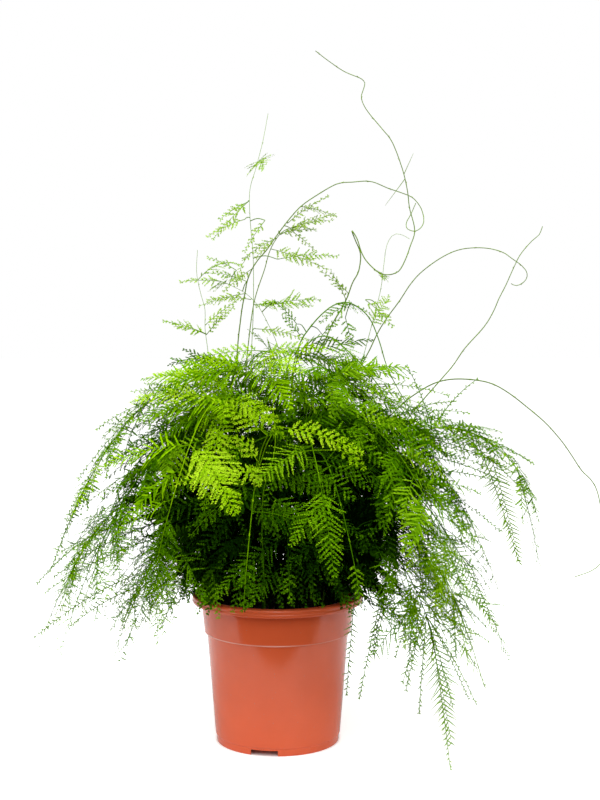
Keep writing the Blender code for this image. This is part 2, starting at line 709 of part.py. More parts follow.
def tidied(body, keep_largest):
    """Drops loose scraps and leaves a body of triangles."""
    work = bmesh.new()
    work.from_mesh(body.data)
    bmesh.ops.triangulate(work, faces=work.faces)
    if keep_largest:
        unseen = set(work.verts)
        islands = []
        while unseen:
            front = [unseen.pop()]
            island = list(front)
            while front:
                vertex = front.pop()
                for edge in vertex.link_edges:
                    other = edge.other_vert(vertex)
                    if other in unseen:
                        unseen.discard(other)
                        front.append(other)
                        island.append(other)
            islands.append(island)
        islands.sort(key=len)
        for island in islands[:-1]:
            bmesh.ops.delete(work, geom=island, context="VERTS")
    work.to_mesh(body.data)
    work.free()


def make_pot():
    """The pot with the notches in its foot and the holes in its channel."""
    pot = new_object("pot", turned("pot", pot_profile(), TURN_SEGMENTS), "pot_plastic")
    cutters = []
    for number, degrees in enumerate(NOTCH_ANGLES):
        angle = math.radians(degrees)
        middle = FOOT_RADIUS - 0.5 * MM
        centre = (middle * math.cos(angle), middle * math.sin(angle), 0.5 * NOTCH_HEIGHT - 1 * MM)
        size = (11 * MM, NOTCH_WIDTH, NOTCH_HEIGHT + 2 * MM)
        cutters.append(box_cutter(f"notch_cutter_{number}", centre, size, angle))
    for number in range(DRAIN_COUNT):
        angle = 2 * math.pi * (number + 0.5) / DRAIN_COUNT
        centre = (DRAIN_CIRCLE * math.cos(angle), DRAIN_CIRCLE * math.sin(angle))
        cutters.append(rod_cutter(f"drain_cutter_{number}", centre, DRAIN_RADIUS,
                                  CHANNEL_HEIGHT - 2 * MM, CHANNEL_HEIGHT + WALL + 2 * MM, 6))
    joined(pot, cutters, "DIFFERENCE", "EXACT")
    tidied(pot, False)
    finish(pot)


def make_soil(stems):
    """The potting mix, with a plain blind hole for each stem."""
    def bumps(x, y):
        wave = math.sin(x * 170 + 1.0) * math.cos(y * 140) + math.sin((x + y) * 260 + 2.0) * 0.6
        return SOIL_BUMP * wave
    bumps.first = 5
    floor = WALL + SEAT_GAP
    roof = CHANNEL_HEIGHT + WALL + SEAT_GAP
    edge = BAND_TOP_RADIUS - WALL - 1.6 * MM
    profile = [
        (0.0, floor),
        (PANEL_RADIUS - 2.1 * MM, floor),
        (PANEL_RADIUS - 1.1 * MM, roof),
        (BODY_FOOT_RADIUS - WALL - SEAT_GAP, roof),
        (BODY_TOP_RADIUS - WALL - SEAT_GAP, LEDGE_HEIGHT + 0.8 * MM),
        (edge, SOIL_TOP - 2.0 * MM),
        (edge - 8 * MM, SOIL_TOP),
        (34 * MM, SOIL_TOP),
        (0.0, SOIL_TOP),
    ]
    soil = new_object("soil", turned("soil", profile, TURN_SEGMENTS, bumps), "potting_mix")
    holes = []
    for stem in stems:
        foot = stem.route[0]
        holes.append(rod_cutter(stem.name + "_hole", foot, HOLE_RADIUS * math.sqrt(2),
                                foot[2] - SEAT_GAP, SOIL_TOP + 20 * MM, 4, math.pi / 4))
    joined(soil, holes, "DIFFERENCE", "EXACT")
    tidied(soil, False)
    finish(soil)


def branch(stations, radii, leaflets):
    """A three-sided branch: its rings, then its leaflet tips, then its end."""
    rings = len(stations) - 1
    vertices = []
    faces = []
    for (point, way, up, side), radius in zip(stations[:-1], radii):
        vertices.append(point + up * radius)
        vertices.append(point - up * radius * 0.5 + side * radius * 0.866)
        vertices.append(point - up * radius * 0.5 - side * radius * 0.866)
    tips = {}
    for key, tip in leaflets.items():
        tips[key] = len(vertices)
        vertices.append(tip)
    faces.append((0, 2, 1))
    for k in range(rings - 1):
        here = 3 * k
        for corner in range(3):
            following = (corner + 1) % 3
            quad = [here + corner, here + following, here + 3 + following, here + 3 + corner]
            if (k, corner) in tips:
                apex = tips[(k, corner)]
                faces.extend((a, b, apex) for a, b in zip(quad, quad[1:] + quad[:1]))
            else:
                faces.append(tuple(quad[:3]))
                faces.append((quad[0], quad[2], quad[3]))
    end = len(vertices)
    vertices.append(stations[-1][0])
    last = 3 * (rings - 1)
    faces.extend((last + a, last + (a + 1) % 3, end) for a in range(3))
    return vertices, faces


def route_stations(route, up):
    """Frames along a stem, carried from ring to ring without twist."""
    ways = unit(np.gradient(route, axis=0))
    frames = []
    for point, way in zip(route, ways):
        up = unit(up - way * float(way @ up))
        frames.append((point, way, up, np.cross(way, up)))
    return frames


def frond_part(frond, pairs, first):
    """Stations, radii and leaflet tips of a frond, its sections counted from first."""
    shares = [0.0] + list(np.linspace(BARE_SHARE, 0.97, pairs + 1))
    stations = [frond.station(share) for share in shares] + [frond.station(1.0)]
    radii = [RIB_RADIUS * (1.0 - 0.25 * share) for share in shares]
    leaflets = {}
    for k in range(pairs):
        middle = 0.5 * (shares[k + 1] + shares[k + 2])
        leaflets[(first + k + 1, 0)] = frond.leaflet_tip(middle, 1)
        leaflets[(first + k + 1, 2)] = frond.leaflet_tip(middle, -1)
    return stations, radii, leaflets


def leaf_pairs(frond):
    """How many pairs of leaflets a frond of this length gets."""
    return 5 if frond.length > 104 * MM else 4 if frond.length > 79 * MM else 3


def stem_body(stem):
    """The stem itself, carried on by its tip frond."""
    route = spare_stem(stem.route, stem.slack)
    stations = route_stations(route, np.array([0.01, -1.0, 0.3]))
    runs = np.concatenate([[0.0], np.cumsum(np.linalg.norm(np.diff(route, axis=0), axis=1))])
    radii = list(stem.radii[0] + (stem.radii[1] - stem.radii[0]) * runs / runs[-1])
    leaflets = {}
    if stem.tip is not None:
        stations[-1] = stem.tip.station(0.0)
        stations = untwisted(stations)
        more, thin, leaflets = frond_part(stem.tip, leaf_pairs(stem.tip), len(stations) - 1)
        stations += more[1:]
        radii += thin[1:]
    mesh = mesh_from(stem.name, *branch(stations, radii, leaflets), turn_out=False)
    return new_object(stem.name, mesh, stem.shade)


def side_parts(stem, route, fronds, nudge):
    """The stem's side fronds and twigs as objects that start inside the stem."""
    made = []
    for number, frond in enumerate(fronds):
        frond.shift_root(nearest_on(route, frond.root + [0.0, 0.0, nudge]))
        mesh = mesh_from(f"{stem.name}_frond_{number + 1}",
                         *branch(*frond_part(frond, leaf_pairs(frond), 0)), turn_out=False)
        made.append(new_object(mesh.name, mesh, None))
    for number, twig in enumerate(stem.twigs):
        line = np.array([nearest_on(route, twig[0]), twig.mean(axis=0), twig[1]])
        stations = route_stations(line, np.array([0.01, -1.0, 0.3]))
        mesh = mesh_from(f"{stem.name}_twig_{number + 1}",
                         *branch(stations, [0.6 * MM, 0.5 * MM], {}), turn_out=False)
        made.append(new_object(mesh.name, mesh, None))
    return made


def nearest_on(route, point):
    """The nearest point of a route to a point."""
    best = None
    for a, b in zip(route, route[1:]):
        share = min(1.0, max(0.0, float((point - a) @ (b - a) / ((b - a) @ (b - a)))))
        near = a + (b - a) * share
        away = float(np.linalg.norm(near - point))
        if best is None or away < best[0]:
            best = (away, near)
    return best[1]


def is_whole(body):
    """Whether every edge of the body joins two faces, also where it nearly touches itself."""
    work = bmesh.new()
    work.from_mesh(body.data)
    bmesh.ops.remove_doubles(work, verts=work.verts, dist=MERGE_CHECK)
    whole = all(len(edge.link_faces) == 2 for edge in work.edges)
    whole = whole and work.calc_volume(signed=True) > 0.0
    work.free()
    return whole


def make_stem(stem):
    """One stem with all its fronds as a single body."""
    fronds = list(stem.fronds)
    tries = [("MANIFOLD", 0.0), ("EXACT", 0.0), ("MANIFOLD", 0.25 * MM), ("MANIFOLD", 0.5 * MM)]
    while True:
        solver, nudge = tries.pop(0)
        body = stem_body(stem)
        joined(body, side_parts(stem, spare_stem(stem.route, stem.slack), fronds, nudge),
               "UNION", solver)
        tidied(body, True)
        if is_whole(body) or not fronds:
            break
        bpy.data.objects.remove(body)
        if not tries:
            fronds.pop()
            tries.append(("MANIFOLD", 0.0))
    finish(body)


def untwisted(stations):
    """Frames turned gradually so that the last one keeps its own up direction."""
    count = len(stations)
    last_up = stations[-1][2]
    turned_frames = []
    for k, (point, way, up, side) in enumerate(stations):
        share = (k / (count - 1)) ** 2
        mixed = up * (1 - share) + last_up * share
        mixed = unit(mixed - way * float(way @ mixed))
        turned_frames.append((point, way, mixed, np.cross(way, mixed)))
    return turned_frames


def finish(body):
    """Smooth shading with the sharp edges kept."""
    body.data.shade_smooth()
    body.data.set_sharp_from_angle(angle=math.radians(35))


def main():
    """Clears the scene and builds the plant in its pot."""
    for old in list(bpy.data.objects):
        bpy.data.objects.remove(old)
    stems = plan_plant()
    make_pot()
    make_soil(stems)
    for stem in stems:
        make_stem(stem)


main()
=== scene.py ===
"""Looks of the potted asparagus fern: fine foliage, stems, pot, soil and studio."""
import collections
import math

import bmesh
import bpy
import numpy as np
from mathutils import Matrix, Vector


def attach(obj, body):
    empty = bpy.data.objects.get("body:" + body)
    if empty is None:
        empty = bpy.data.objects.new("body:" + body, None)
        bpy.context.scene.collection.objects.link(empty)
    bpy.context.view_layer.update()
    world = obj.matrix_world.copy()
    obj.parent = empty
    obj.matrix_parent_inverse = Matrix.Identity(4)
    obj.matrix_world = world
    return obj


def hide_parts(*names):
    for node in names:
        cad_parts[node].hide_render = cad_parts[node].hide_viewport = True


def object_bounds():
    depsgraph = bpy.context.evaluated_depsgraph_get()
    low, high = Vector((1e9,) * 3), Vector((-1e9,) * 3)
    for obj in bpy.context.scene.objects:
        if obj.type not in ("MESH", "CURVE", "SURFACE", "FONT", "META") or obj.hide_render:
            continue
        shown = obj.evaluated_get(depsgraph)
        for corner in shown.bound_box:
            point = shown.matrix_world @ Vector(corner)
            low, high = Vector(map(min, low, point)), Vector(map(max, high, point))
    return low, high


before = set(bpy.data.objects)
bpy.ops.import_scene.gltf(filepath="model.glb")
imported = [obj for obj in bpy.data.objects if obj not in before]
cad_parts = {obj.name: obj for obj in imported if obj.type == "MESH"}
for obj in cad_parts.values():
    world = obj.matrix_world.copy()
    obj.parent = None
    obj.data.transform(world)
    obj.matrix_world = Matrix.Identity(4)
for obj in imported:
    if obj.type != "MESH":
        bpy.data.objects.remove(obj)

CAD_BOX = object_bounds()

MM = 0.001

# Pot
POT_HEIGHT = 148.3 * MM
RIM_RADIUS = 85.0 * MM
LIP_HEIGHT = 7.3 * MM
LEDGE_HEIGHT = 110.8 * MM
LEDGE_RADIUS = 73.1 * MM
BAND_TOP_RADIUS = 76.0 * MM
BODY_TOP_RADIUS = 70.5 * MM
BODY_FOOT_RADIUS = 62.4 * MM
FOOT_RADIUS = 60.9 * MM
FOOT_HEIGHT = 7.2 * MM
WALL = 1.5 * MM
CHANNEL_HEIGHT = 6.0 * MM
PANEL_RADIUS = 38.5 * MM
TURN_SEGMENTS = 28
NOTCH_ANGLES = (-102.0, 18.0, 138.0)
NOTCH_WIDTH = 27.0 * MM
NOTCH_HEIGHT = 5.6 * MM
DRAIN_COUNT = 6
DRAIN_RADIUS = 4.0 * MM
DRAIN_CIRCLE = 48.5 * MM

# Soil
SOIL_TOP = 137.0 * MM
SOIL_BUMP = 2.2 * MM
SEAT_GAP = 0.35 * MM
COLLAR_HEIGHT = 145.0 * MM

# Stems and fronds
STEM_DEPTH = 12.0 * MM
STEM_RADIUS = 1.35 * MM
STEM_TIP_RADIUS = 0.85 * MM
CLIMBER_RADIUS = 1.15 * MM
CLIMBER_TIP_RADIUS = 0.7 * MM
RIB_RADIUS = 0.72 * MM
HOLE_RADIUS = 1.75 * MM
CLIMBER_SLACK = 1.1 * MM
STEM_SLACK = 1.9 * MM
RIB_STEPS = 12
BARE_SHARE = 0.12
LEAFLET_SWEEP = math.radians(32.0)
LEAFLET_SAG = 0.10
CELL = 2.0 * MM
FROND_CLEARANCE = 6.6 * MM
STEM_CLEARANCE = 5.2 * MM
ROOT_FREE = 16.0 * MM
SAMPLE_STEP = 4.0 * MM
HANG_HEIGHT = 92.0 * MM
FLOOR_GAP = 5.0 * MM
MERGE_CHECK = 0.0002 * MM
SEED = 17

# Routes in millimetres, each from the bare end to the soil
CLIMBERS = {
    "climbing_stem_tall": [
        (37, -20, 677), (48, -10, 670), (65, 0, 660), (83, 5, 653), (85, 5, 647), (82, 5, 638),
        (83, 5, 631), (89, 5, 621), (102, 0, 605), (112, 0, 592), (122, 0, 566), (127, 0, 545),
        (129, 0, 529), (134, -4, 507), (129, -10, 491), (124, -15, 478), (117, -20, 467),
        (105, -21, 464), (96, -18, 468), (87, -10, 477), (82, -4, 486), (78, 1, 499),
        (73, 8, 507), (77, 13, 497), (82, 14, 484), (80, 12, 467), (74, 10, 456), (69, 10, 442),
        (63, 8, 430), (56, 5, 419), (50, 0, 407), (42, 0, 385), (36, 0, 350), (28, 0, 300),
        (18, 0, 220), (12, 0, 170), (10, 0, 125)],
    "climbing_stem_looped": [
        (136, 12, 534), (131, 8, 523), (126, 2, 514), (127, -8, 508), (134, -13, 506),
        (140, -9, 510), (143, -2, 517), (141, 5, 528), (135, 8, 537), (129, 8, 541),
        (118, 7, 545), (106, 5, 549), (97, 4, 553), (88, 4, 555), (74, 3, 554), (58, 0, 552),
        (37, -5, 540), (23, -8, 530), (12, -10, 518), (-1, -12, 501), (-10, -14, 488),
        (-18, -15, 479), (-24, -15, 470), (-29, -15, 458), (-31, -15, 447), (-34, -15, 432),
        (-36, -15, 417), (-38, -15, 400), (-40, -15, 370), (-40, -13, 322), (-35, -11, 260),
        (-28, -9, 200), (-23, -8, 160), (-21, -8, 125)],
    "climbing_stem_short": [
        (36, -27, 507), (20, -27, 510), (5, -26, 505), (-6, -25, 489), (-12, -25, 469),
        (-18, -25, 452), (-22, -25, 438), (-25, -25, 420), (-28, -25, 395), (-30, -26, 371),
        (-29, -26, 323), (-22, -25, 244), (-14, -24, 184), (-11, -24, 125)],
    "climbing_stem_right": [
        (230, 8, 455), (236, 9, 453), (243, 8, 457), (246, 7, 464), (241, 7, 472), (230, 7, 480),
        (221, 8, 486), (204, 9, 490), (182, 10, 489), (164, 12, 482), (144, 14, 468),
        (132, 16, 455), (121, 18, 438), (108, 20, 420), (99, 20, 405), (92, 20, 390),
        (80, 20, 366), (62, 18, 319), (44, 16, 259), (32, 15, 185), (28, 15, 125)],
    "climbing_stem_outer": [
        (259, 0, 511), (256, 0, 503), (249, 0, 497), (238, 0, 484), (231, 0, 470),
        (224, 0, 454), (217, 0, 440), (212, 0, 428), (203, 0, 413), (184, -3, 392),
        (172, -6, 375), (156, -10, 357), (131, -14, 328), (97, -16, 280), (66, -16, 220),
        (48, -15, 165), (43, -15, 125)],
    "climbing_stem_side": [
        (285, -60, 176), (304, -48, 180), (316, -36, 187), (322, -20, 199), (321, -6, 225),
        (318, 4, 248), (312, 6, 260), (302, 6, 270), (292, 6, 285), (282, 6, 299), (266, 6, 317),
        (246, 6, 334), (229, 6, 347), (213, 6, 356), (196, 6, 360), (175, 6, 361), (158, 5, 358),
        (142, 5, 350), (121, 5, 334), (96, 4, 305), (72, 4, 260), (54, 3, 205), (44, 2, 160),
        (41, 2, 125)],
}

# Stems traced over the crown and at its sides, with their number of fronds, frond length and shade
TRACED = {
    "upright_stem_left": (
        [(-9, 12, 621), (-14, 12, 595), (-21, 12, 568), (-27, 12, 547), (-27, 13, 520),
         (-24, 14, 480), (-24, 14, 430), (-26, 14, 380), (-26, 15, 300), (-18, 15, 220),
         (-10, 15, 165), (-8, 15, 125)], 2, 58, "pale_foliage"),
    "upright_stem_far_left": (
        [(-78, 0, 488), (-79, 0, 466), (-75, 0, 445), (-71, 0, 430), (-71, 0, 410),
         (-68, 0, 385), (-66, 0, 340), (-60, 0, 280), (-50, 0, 210), (-42, 0, 165),
         (-40, 0, 125)], 2, 46, "pale_foliage"),
    "upright_stem_right": (
        [(131, 24, 499), (124, 26, 503), (116, 28, 504), (109, 30, 494), (106, 30, 475),
         (103, 30, 450), (97, 30, 425), (88, 32, 390), (72, 34, 330), (52, 34, 250),
         (38, 32, 180), (34, 31, 125)], 3, 44, "pale_foliage"),
    "arching_stem_left": (
        [(-74, 30, 460), (-56, 30, 457), (-45, 30, 452), (-32, 30, 445), (-20, 30, 433),
         (-10, 30, 415), (0, 30, 392), (8, 30, 355), (10, 30, 300), (8, 30, 220),
         (6, 30, 165), (6, 30, 125)], 2, 50, "pale_foliage"),
    "arching_stem_high": (
        [(132, -44, 330), (118, -36, 352), (106, -32, 376), (98, -30, 402), (88, -30, 424),
         (71, -30, 437), (57, -30, 436), (45, -30, 428), (33, -30, 415), (22, -30, 398),
         (15, -30, 370), (12, -31, 320), (10, -32, 250), (8, -32, 180), (8, -32, 125)],
        3, 70, "foliage"),
    "arching_stem_low": (
        [(120, -84, 318), (104, -74, 348), (86, -64, 374), (68, -56, 392), (54, -50, 404),
         (42, -47, 406), (31, -46, 400), (20, -46, 384), (13, -46, 350), (14, -46, 290),
         (20, -46, 215), (22, -46, 160), (22, -46, 125)], 3, 70, "foliage"),
    "hanging_stem_front": (
        [(152, -118, 92), (148, -112, 118), (140, -104, 148), (126, -92, 180), (108, -78, 205),
         (88, -64, 214), (70, -50, 206), (58, -40, 184), (53, -36, 160), (52, -36, 125)],
        4, 86, "foliage"),
    "hanging_stem_right": (
        [(176, -52, 140), (168, -50, 158), (156, -46, 180), (138, -40, 202), (116, -33, 220),
         (94, -26, 222), (76, -21, 206), (64, -19, 180), (61, -18, 160), (60, -18, 125)],
        4, 84, "foliage"),
    "trailing_stem_right": (
        [(238, -36, 256), (230, -35, 280), (208, -34, 300), (175, -33, 316), (138, -32, 312),
         (104, -31, 282), (78, -31, 222), (46, -32, 165), (40, -32, 125)], 3, 74, "foliage"),
    "trailing_stem_left": (
        [(-204, -24, 170), (-184, -22, 206), (-156, -20, 236), (-120, -17, 250),
         (-86, -15, 236), (-66, -13, 200), (-56, -12, 160), (-55, -12, 125)], 3, 92, "foliage"),
}
BARE_TIPS = ("upright_stem_left", "upright_stem_far_left", "upright_stem_right",
             "arching_stem_left")
FREE_HANGING = ("hanging_stem_front", "hanging_stem_right")

# Sprays traced on single stems: stem, root, tip and width in millimetres
SPRAYS = (
    ("upright_stem_left", (-27, 12, 536), (-66, 8, 502), 13),
    ("upright_stem_left", (-24, 14, 433), (34, 34, 440), 15),
    ("climbing_stem_short", (0, -25, 502), (-33, -44, 484), 10),
    ("climbing_stem_short", (14, -27, 509), (52, -58, 522), 14),
    ("climbing_stem_short", (-6, -25, 488), (50, -46, 476), 16),
    ("climbing_stem_looped", (24, -8, 531), (58, 20, 527), 13),
    ("climbing_stem_looped", (-24, -15, 470), (-52, -30, 452), 11),
    ("arching_stem_left", (-32, 30, 445), (-80, 44, 438), 12),
    ("arching_stem_left", (-56, 30, 457), (-96, 20, 462), 10),
    ("upright_stem_far_left", (-70, 0, 405), (-108, -14, 424), 14),
    ("upright_stem_far_left", (-71, 0, 415), (-44, 4, 440), 11),
    ("climbing_stem_tall", (70, 10, 444), (46, 26, 470), 9),
)

# Twigs of the tallest stem in millimetres: root, tip
TWIGS = (
    ("climbing_stem_tall", (123, 0, 560), (133, 8, 582)),
    ("climbing_stem_tall", (124, 0, 556), (105, -6, 531)),
)

# Tiers: name, count, first azimuth, start, reach, apex, end, frond length, side fronds
TIERS = (
    ("crown_stem", 6, 20.0, 29, 112, 368, 336, 86, 3),
    ("upper_stem", 8, 8.0, 43, 172, 336, 268, 90, 3),
    ("middle_stem", 8, 25.0, 54, 172, 292, 205, 90, 3),
    ("lower_stem", 8, 12.0, 64, 144, 240, 176, 80, 3),
    ("skirt_stem", 7, 270.0, 61, 104, 200, 178, 62, 3),
)
YOUNG_STEMS = {"crown_stem_4", "crown_stem_5", "upper_stem_6", "middle_stem_6"}
# Lower tiers under the crown, which get the darker foliage look as painted shade
SHADED_TIERS = ("lower_stem", "skirt_stem")


def unit(vectors):
    """Vectors scaled to length one."""
    vectors = np.asarray(vectors, float)
    return vectors / np.linalg.norm(vectors, axis=-1, keepdims=True)


def smooth_route(points, spacing):
    """A Catmull-Rom curve through the points, sampled about every spacing."""
    points = np.asarray(points, float)
    ends = np.vstack([2 * points[0] - points[1], points, 2 * points[-1] - points[-2]])
    samples = [points[0]]
    for a, b, c, d in zip(ends, ends[1:], ends[2:], ends[3:]):
        steps = max(1, round(float(np.linalg.norm(c - b)) / spacing))
        for t in np.arange(1, steps + 1) / steps:
            samples.append(0.5 * (2 * b + (c - a) * t + (2 * a - 5 * b + 4 * c - d) * t ** 2
                                  + (3 * b - a - 3 * c + d) * t ** 3))
    return np.array(samples)


def even_route(points, spacing):
    """The route at points spaced evenly along it."""
    runs = np.linalg.norm(np.diff(points, axis=0), axis=1)
    along = np.concatenate([[0.0], np.cumsum(runs)])
    wanted = np.linspace(0.0, along[-1], max(2, round(along[-1] / spacing) + 1))
    return np.stack([np.interp(wanted, along, points[:, k]) for k in range(3)], axis=1)


def arch(azimuth, start, reach, apex, end, sway):
    """A stem's route: up from the soil, over its apex and down to its end."""
    out = np.array([math.cos(azimuth), math.sin(azimuth), 0.0])
    aside = np.array([-out[1], out[0], 0.0])
    peak = (apex - 0.091 * COLLAR_HEIGHT - 0.166 * end) / 0.743
    controls = [out * start + [0, 0, COLLAR_HEIGHT],
                out * (start + 0.04 * reach) + [0, 0, peak],
                out * (0.62 * reach) + aside * 0.6 * sway + [0, 0, peak],
                out * reach + aside * sway + [0, 0, end]]
    t = np.linspace(0.0, 1.0, 60)[:, None]
    return rooted((1 - t) ** 3 * controls[0] + 3 * (1 - t) ** 2 * t * controls[1]
                  + 3 * (1 - t) * t ** 2 * controls[2] + t ** 3 * controls[3])


def rooted(points):
    """The route with its part in the soil made upright, so that it fits a plain hole."""
    above = points[points[:, 2] >= COLLAR_HEIGHT]
    foot = above[0] * [1, 1, 0] + [0, 0, SOIL_TOP - STEM_DEPTH]
    collar = above[0] * [1, 1, 0] + [0, 0, COLLAR_HEIGHT]
    return np.vstack([foot, collar, above[1:]])


class Frond:
    """A flat spray: a drooping rib with leaflets to each side that shorten to its tip."""

    def __init__(self, root, along, up, length, width, droop):
        self.root = np.asarray(root, float)
        self.length = length
        self.width = width
        points = [self.root]
        ways = []
        for step in range(RIB_STEPS):
            way = unit(along + np.array([0, 0, -droop]) * (step + 0.5) / RIB_STEPS)
            ways.append(way)
            points.append(points[-1] + way * length / RIB_STEPS)
        ways.append(ways[-1])
        self.points = np.array(points)
        self.ways = np.array(ways)
        level = up - self.ways * (self.ways @ up)[:, None]
        self.ups = unit(level)
        self.sides = np.cross(self.ways, self.ups)

    def shift_root(self, root):
        """Moves the frond so that it starts at a point on its stem."""
        self.points = self.points + (root - self.root)
        self.root = root

    def station(self, share):
        """Point, way, up and side at a share of the rib's length."""
        place = min(max(share, 0.0), 1.0) * RIB_STEPS
        low = min(int(place), RIB_STEPS - 1)
        mix = place - low
        blend = [row[low] * (1 - mix) + row[low + 1] * mix
                 for row in (self.points, self.ways, self.ups, self.sides)]
        return blend[0], unit(blend[1]), unit(blend[2]), unit(blend[3])

    def leaflet_length(self, share):
        """How far a leaflet that grows at this share of the rib reaches."""
        if share < BARE_SHARE:
            return 0.0
        swell = min(1.0, 0.6 + 0.4 * (share - BARE_SHARE) / 0.15)
        return self.width * swell * (1.02 - share) ** 0.72

    def leaflet_tip(self, share, hand):
        """The tip of the leaflet on one side."""
        point, way, up, side = self.station(share)
        reach = self.leaflet_length(share)
        spread = side * hand * math.cos(LEAFLET_SWEEP) + way * math.sin(LEAFLET_SWEEP)
        return point + reach * (spread - up * LEAFLET_SAG)

    def samples(self):
        """Points all over the frond, close enough together to keep others out."""
        found = []
        count = max(4, round(self.length / SAMPLE_STEP))
        for share in np.linspace(0.0, 1.0, count + 1):
            point = self.station(share)[0]
            found.append(point)
            reach = self.leaflet_length(share)
            parts = max(1, round(reach / SAMPLE_STEP))
            if reach > 0.0:
                for hand in (-1, 1):
                    tip = self.leaflet_tip(share, hand)
                    found.extend(point + (tip - point) * k / parts for k in range(1, parts + 1))
        return np.array(found)


def ball_cells(radius):
    """The cells within a radius of a cell."""
    reach = int(radius / CELL) + 1
    grid = np.arange(-reach, reach + 1)
    ball = np.stack(np.meshgrid(grid, grid, grid, indexing="ij"), -1).reshape(-1, 3)
    return ball[np.linalg.norm(ball, axis=1) * CELL <= radius]


class Room:
    """Remembers which stem holds each small cell of space round the plant."""

    def __init__(self):
        self.low = np.array([-0.34, -0.34, -0.01])
        self.shape = np.ceil((np.array([0.40, 0.34, 0.73]) - self.low) / CELL).astype(int)
        self.owner = np.zeros(self.shape, np.int16)

    def cells(self, points):
        """The cells that hold the points."""
        places = ((np.asarray(points) - self.low) / CELL).astype(int)
        return np.clip(places, 0, self.shape - 1)

    def take(self, points, owner, radius):
        """Claims every cell within the radius of the points that nobody holds."""
        places = np.unique(self.cells(points), axis=0)
        near = (places[:, None, :] + ball_cells(radius)[None, :, :]).reshape(-1, 3)
        index = tuple(np.clip(near, 0, self.shape - 1).T)
        held = self.owner[index]
        self.owner[index] = np.where(held == 0, owner, held)

    def clashes(self, points, owner):
        """How many points lie in others' cells, and how many in the stem's own."""
        held = self.owner[tuple(self.cells(points).T)]
        return int(np.sum((held != 0) & (held != owner))), int(np.sum(held == owner))


class Stem:
    """One stem with its fronds: the route runs from the soil to the free end."""

    def __init__(self, name, route, radii, shade, fronds, frond_length):
        self.name = name
        self.route = route
        self.radii = radii
        self.shade = shade
        self.wanted = fronds
        self.frond_length = frond_length
        self.fronds = []
        self.twigs = []
        self.tip = None
        self.slack = CLIMBER_SLACK if shade == "climber" else STEM_SLACK


def climbers():
    """The bare climbing stems along their routes."""
    radii = (CLIMBER_RADIUS, CLIMBER_TIP_RADIUS)
    return [Stem(name, rooted(smooth_route(np.array(route[::-1]) * MM, 4 * MM)), radii,
                 "climber", 0, 0.0) for name, route in CLIMBERS.items()]


def traced_stems():
    """The stems that stand out of the bush or hang below it."""
    made = []
    for name, (route, fronds, length, shade) in TRACED.items():
        line = rooted(smooth_route(np.array(route[::-1]) * MM, 4 * MM))
        radii = (STEM_RADIUS, STEM_TIP_RADIUS)
        made.append(Stem(name, line, radii, shade, fronds, length * MM))
    return made


def end_height(azimuth, end):
    """Stems end higher in front of the pot and lower at its sides."""
    front = max(0.0, -math.sin(azimuth)) ** 2
    sideways = math.cos(azimuth) ** 2
    return end + front * 18 * MM - sideways * 30 * MM


def lowest_foliage(points, hang_height):
    """How low a frond may hang: clear of the pot, and of the front of it."""
    x, y = points[:, 0], points[:, 1]
    before = (np.abs(x) < RIM_RADIUS + 6 * MM) & (y < 0.0) & (hang_height > FLOOR_GAP)
    over_rim = POT_HEIGHT - 3 * MM + 0.23 * np.maximum(0.0, -RIM_RADIUS - y)
    low = np.where(before, over_rim, hang_height)
    return np.where(np.hypot(x, y) < RIM_RADIUS + 5 * MM, POT_HEIGHT + 3 * MM, low)


def tier_stems(room, first_owner):
    """The arching stems, each turned a little until it is clear of the others."""
    made = []
    draw = np.random.default_rng(SEED)
    for tier, count, first, start, reach, apex, end, length, fronds in TIERS:
        for number in range(count):
            owner = first_owner + len(made)
            for attempt in range(60):
                loose = 6 + 0.5 * attempt
                azimuth = math.radians(first + 360.0 * number / count
                                       + draw.uniform(-loose, loose))
                wide = 1.0 + 0.12 * math.cos(azimuth) ** 2
                line = arch(azimuth, start * MM * draw.uniform(0.84, 1.04),
                            reach * MM * wide * draw.uniform(0.88, 1.1),
                            apex * MM * draw.uniform(0.94, 1.04),
                            end_height(azimuth, end * MM) * draw.uniform(0.94, 1.06),
                            draw.uniform(-30, 30) * MM)
                if room.clashes(even_route(line, 2 * MM), owner)[0] == 0:
                    break
            else:
                continue
            name = f"{tier}_{number + 1}"
            # Painted shade: stems of the lower tiers get the darker foliage look
            shade = "dark_foliage" if tier in SHADED_TIERS else "foliage"
            if name in YOUNG_STEMS:
                shade = "young_foliage"
            stem = Stem(name, line, (STEM_RADIUS, STEM_TIP_RADIUS), shade, fronds, length * MM)
            room.take(even_route(line, 2 * MM), owner, STEM_CLEARANCE)
            made.append(stem)
    return made


def tip_frond(stem, size):
    """The frond that carries a stem on past its end."""
    along = unit(stem.route[-1] - stem.route[-2])
    up = np.array([along[0], along[1], 0.0]) * max(0.0, -along[2]) + [0.0, 0.0, 0.6]
    length = stem.frond_length * size
    return Frond(stem.route[-1], along, up, length, length * 0.34, 0.5)


def traced_spray(stem, root, tip, width):
    """A spray from the nearest point of its stem to its traced tip."""
    near = stem.route[np.argmin(np.linalg.norm(stem.route - np.array(root) * MM, axis=1))]
    way = np.array(tip) * MM - near
    length = float(np.linalg.norm(way))
    up = np.array([0.0, -0.6, 0.8])
    return Frond(near, unit(way), up, length, width * MM, 0.25)


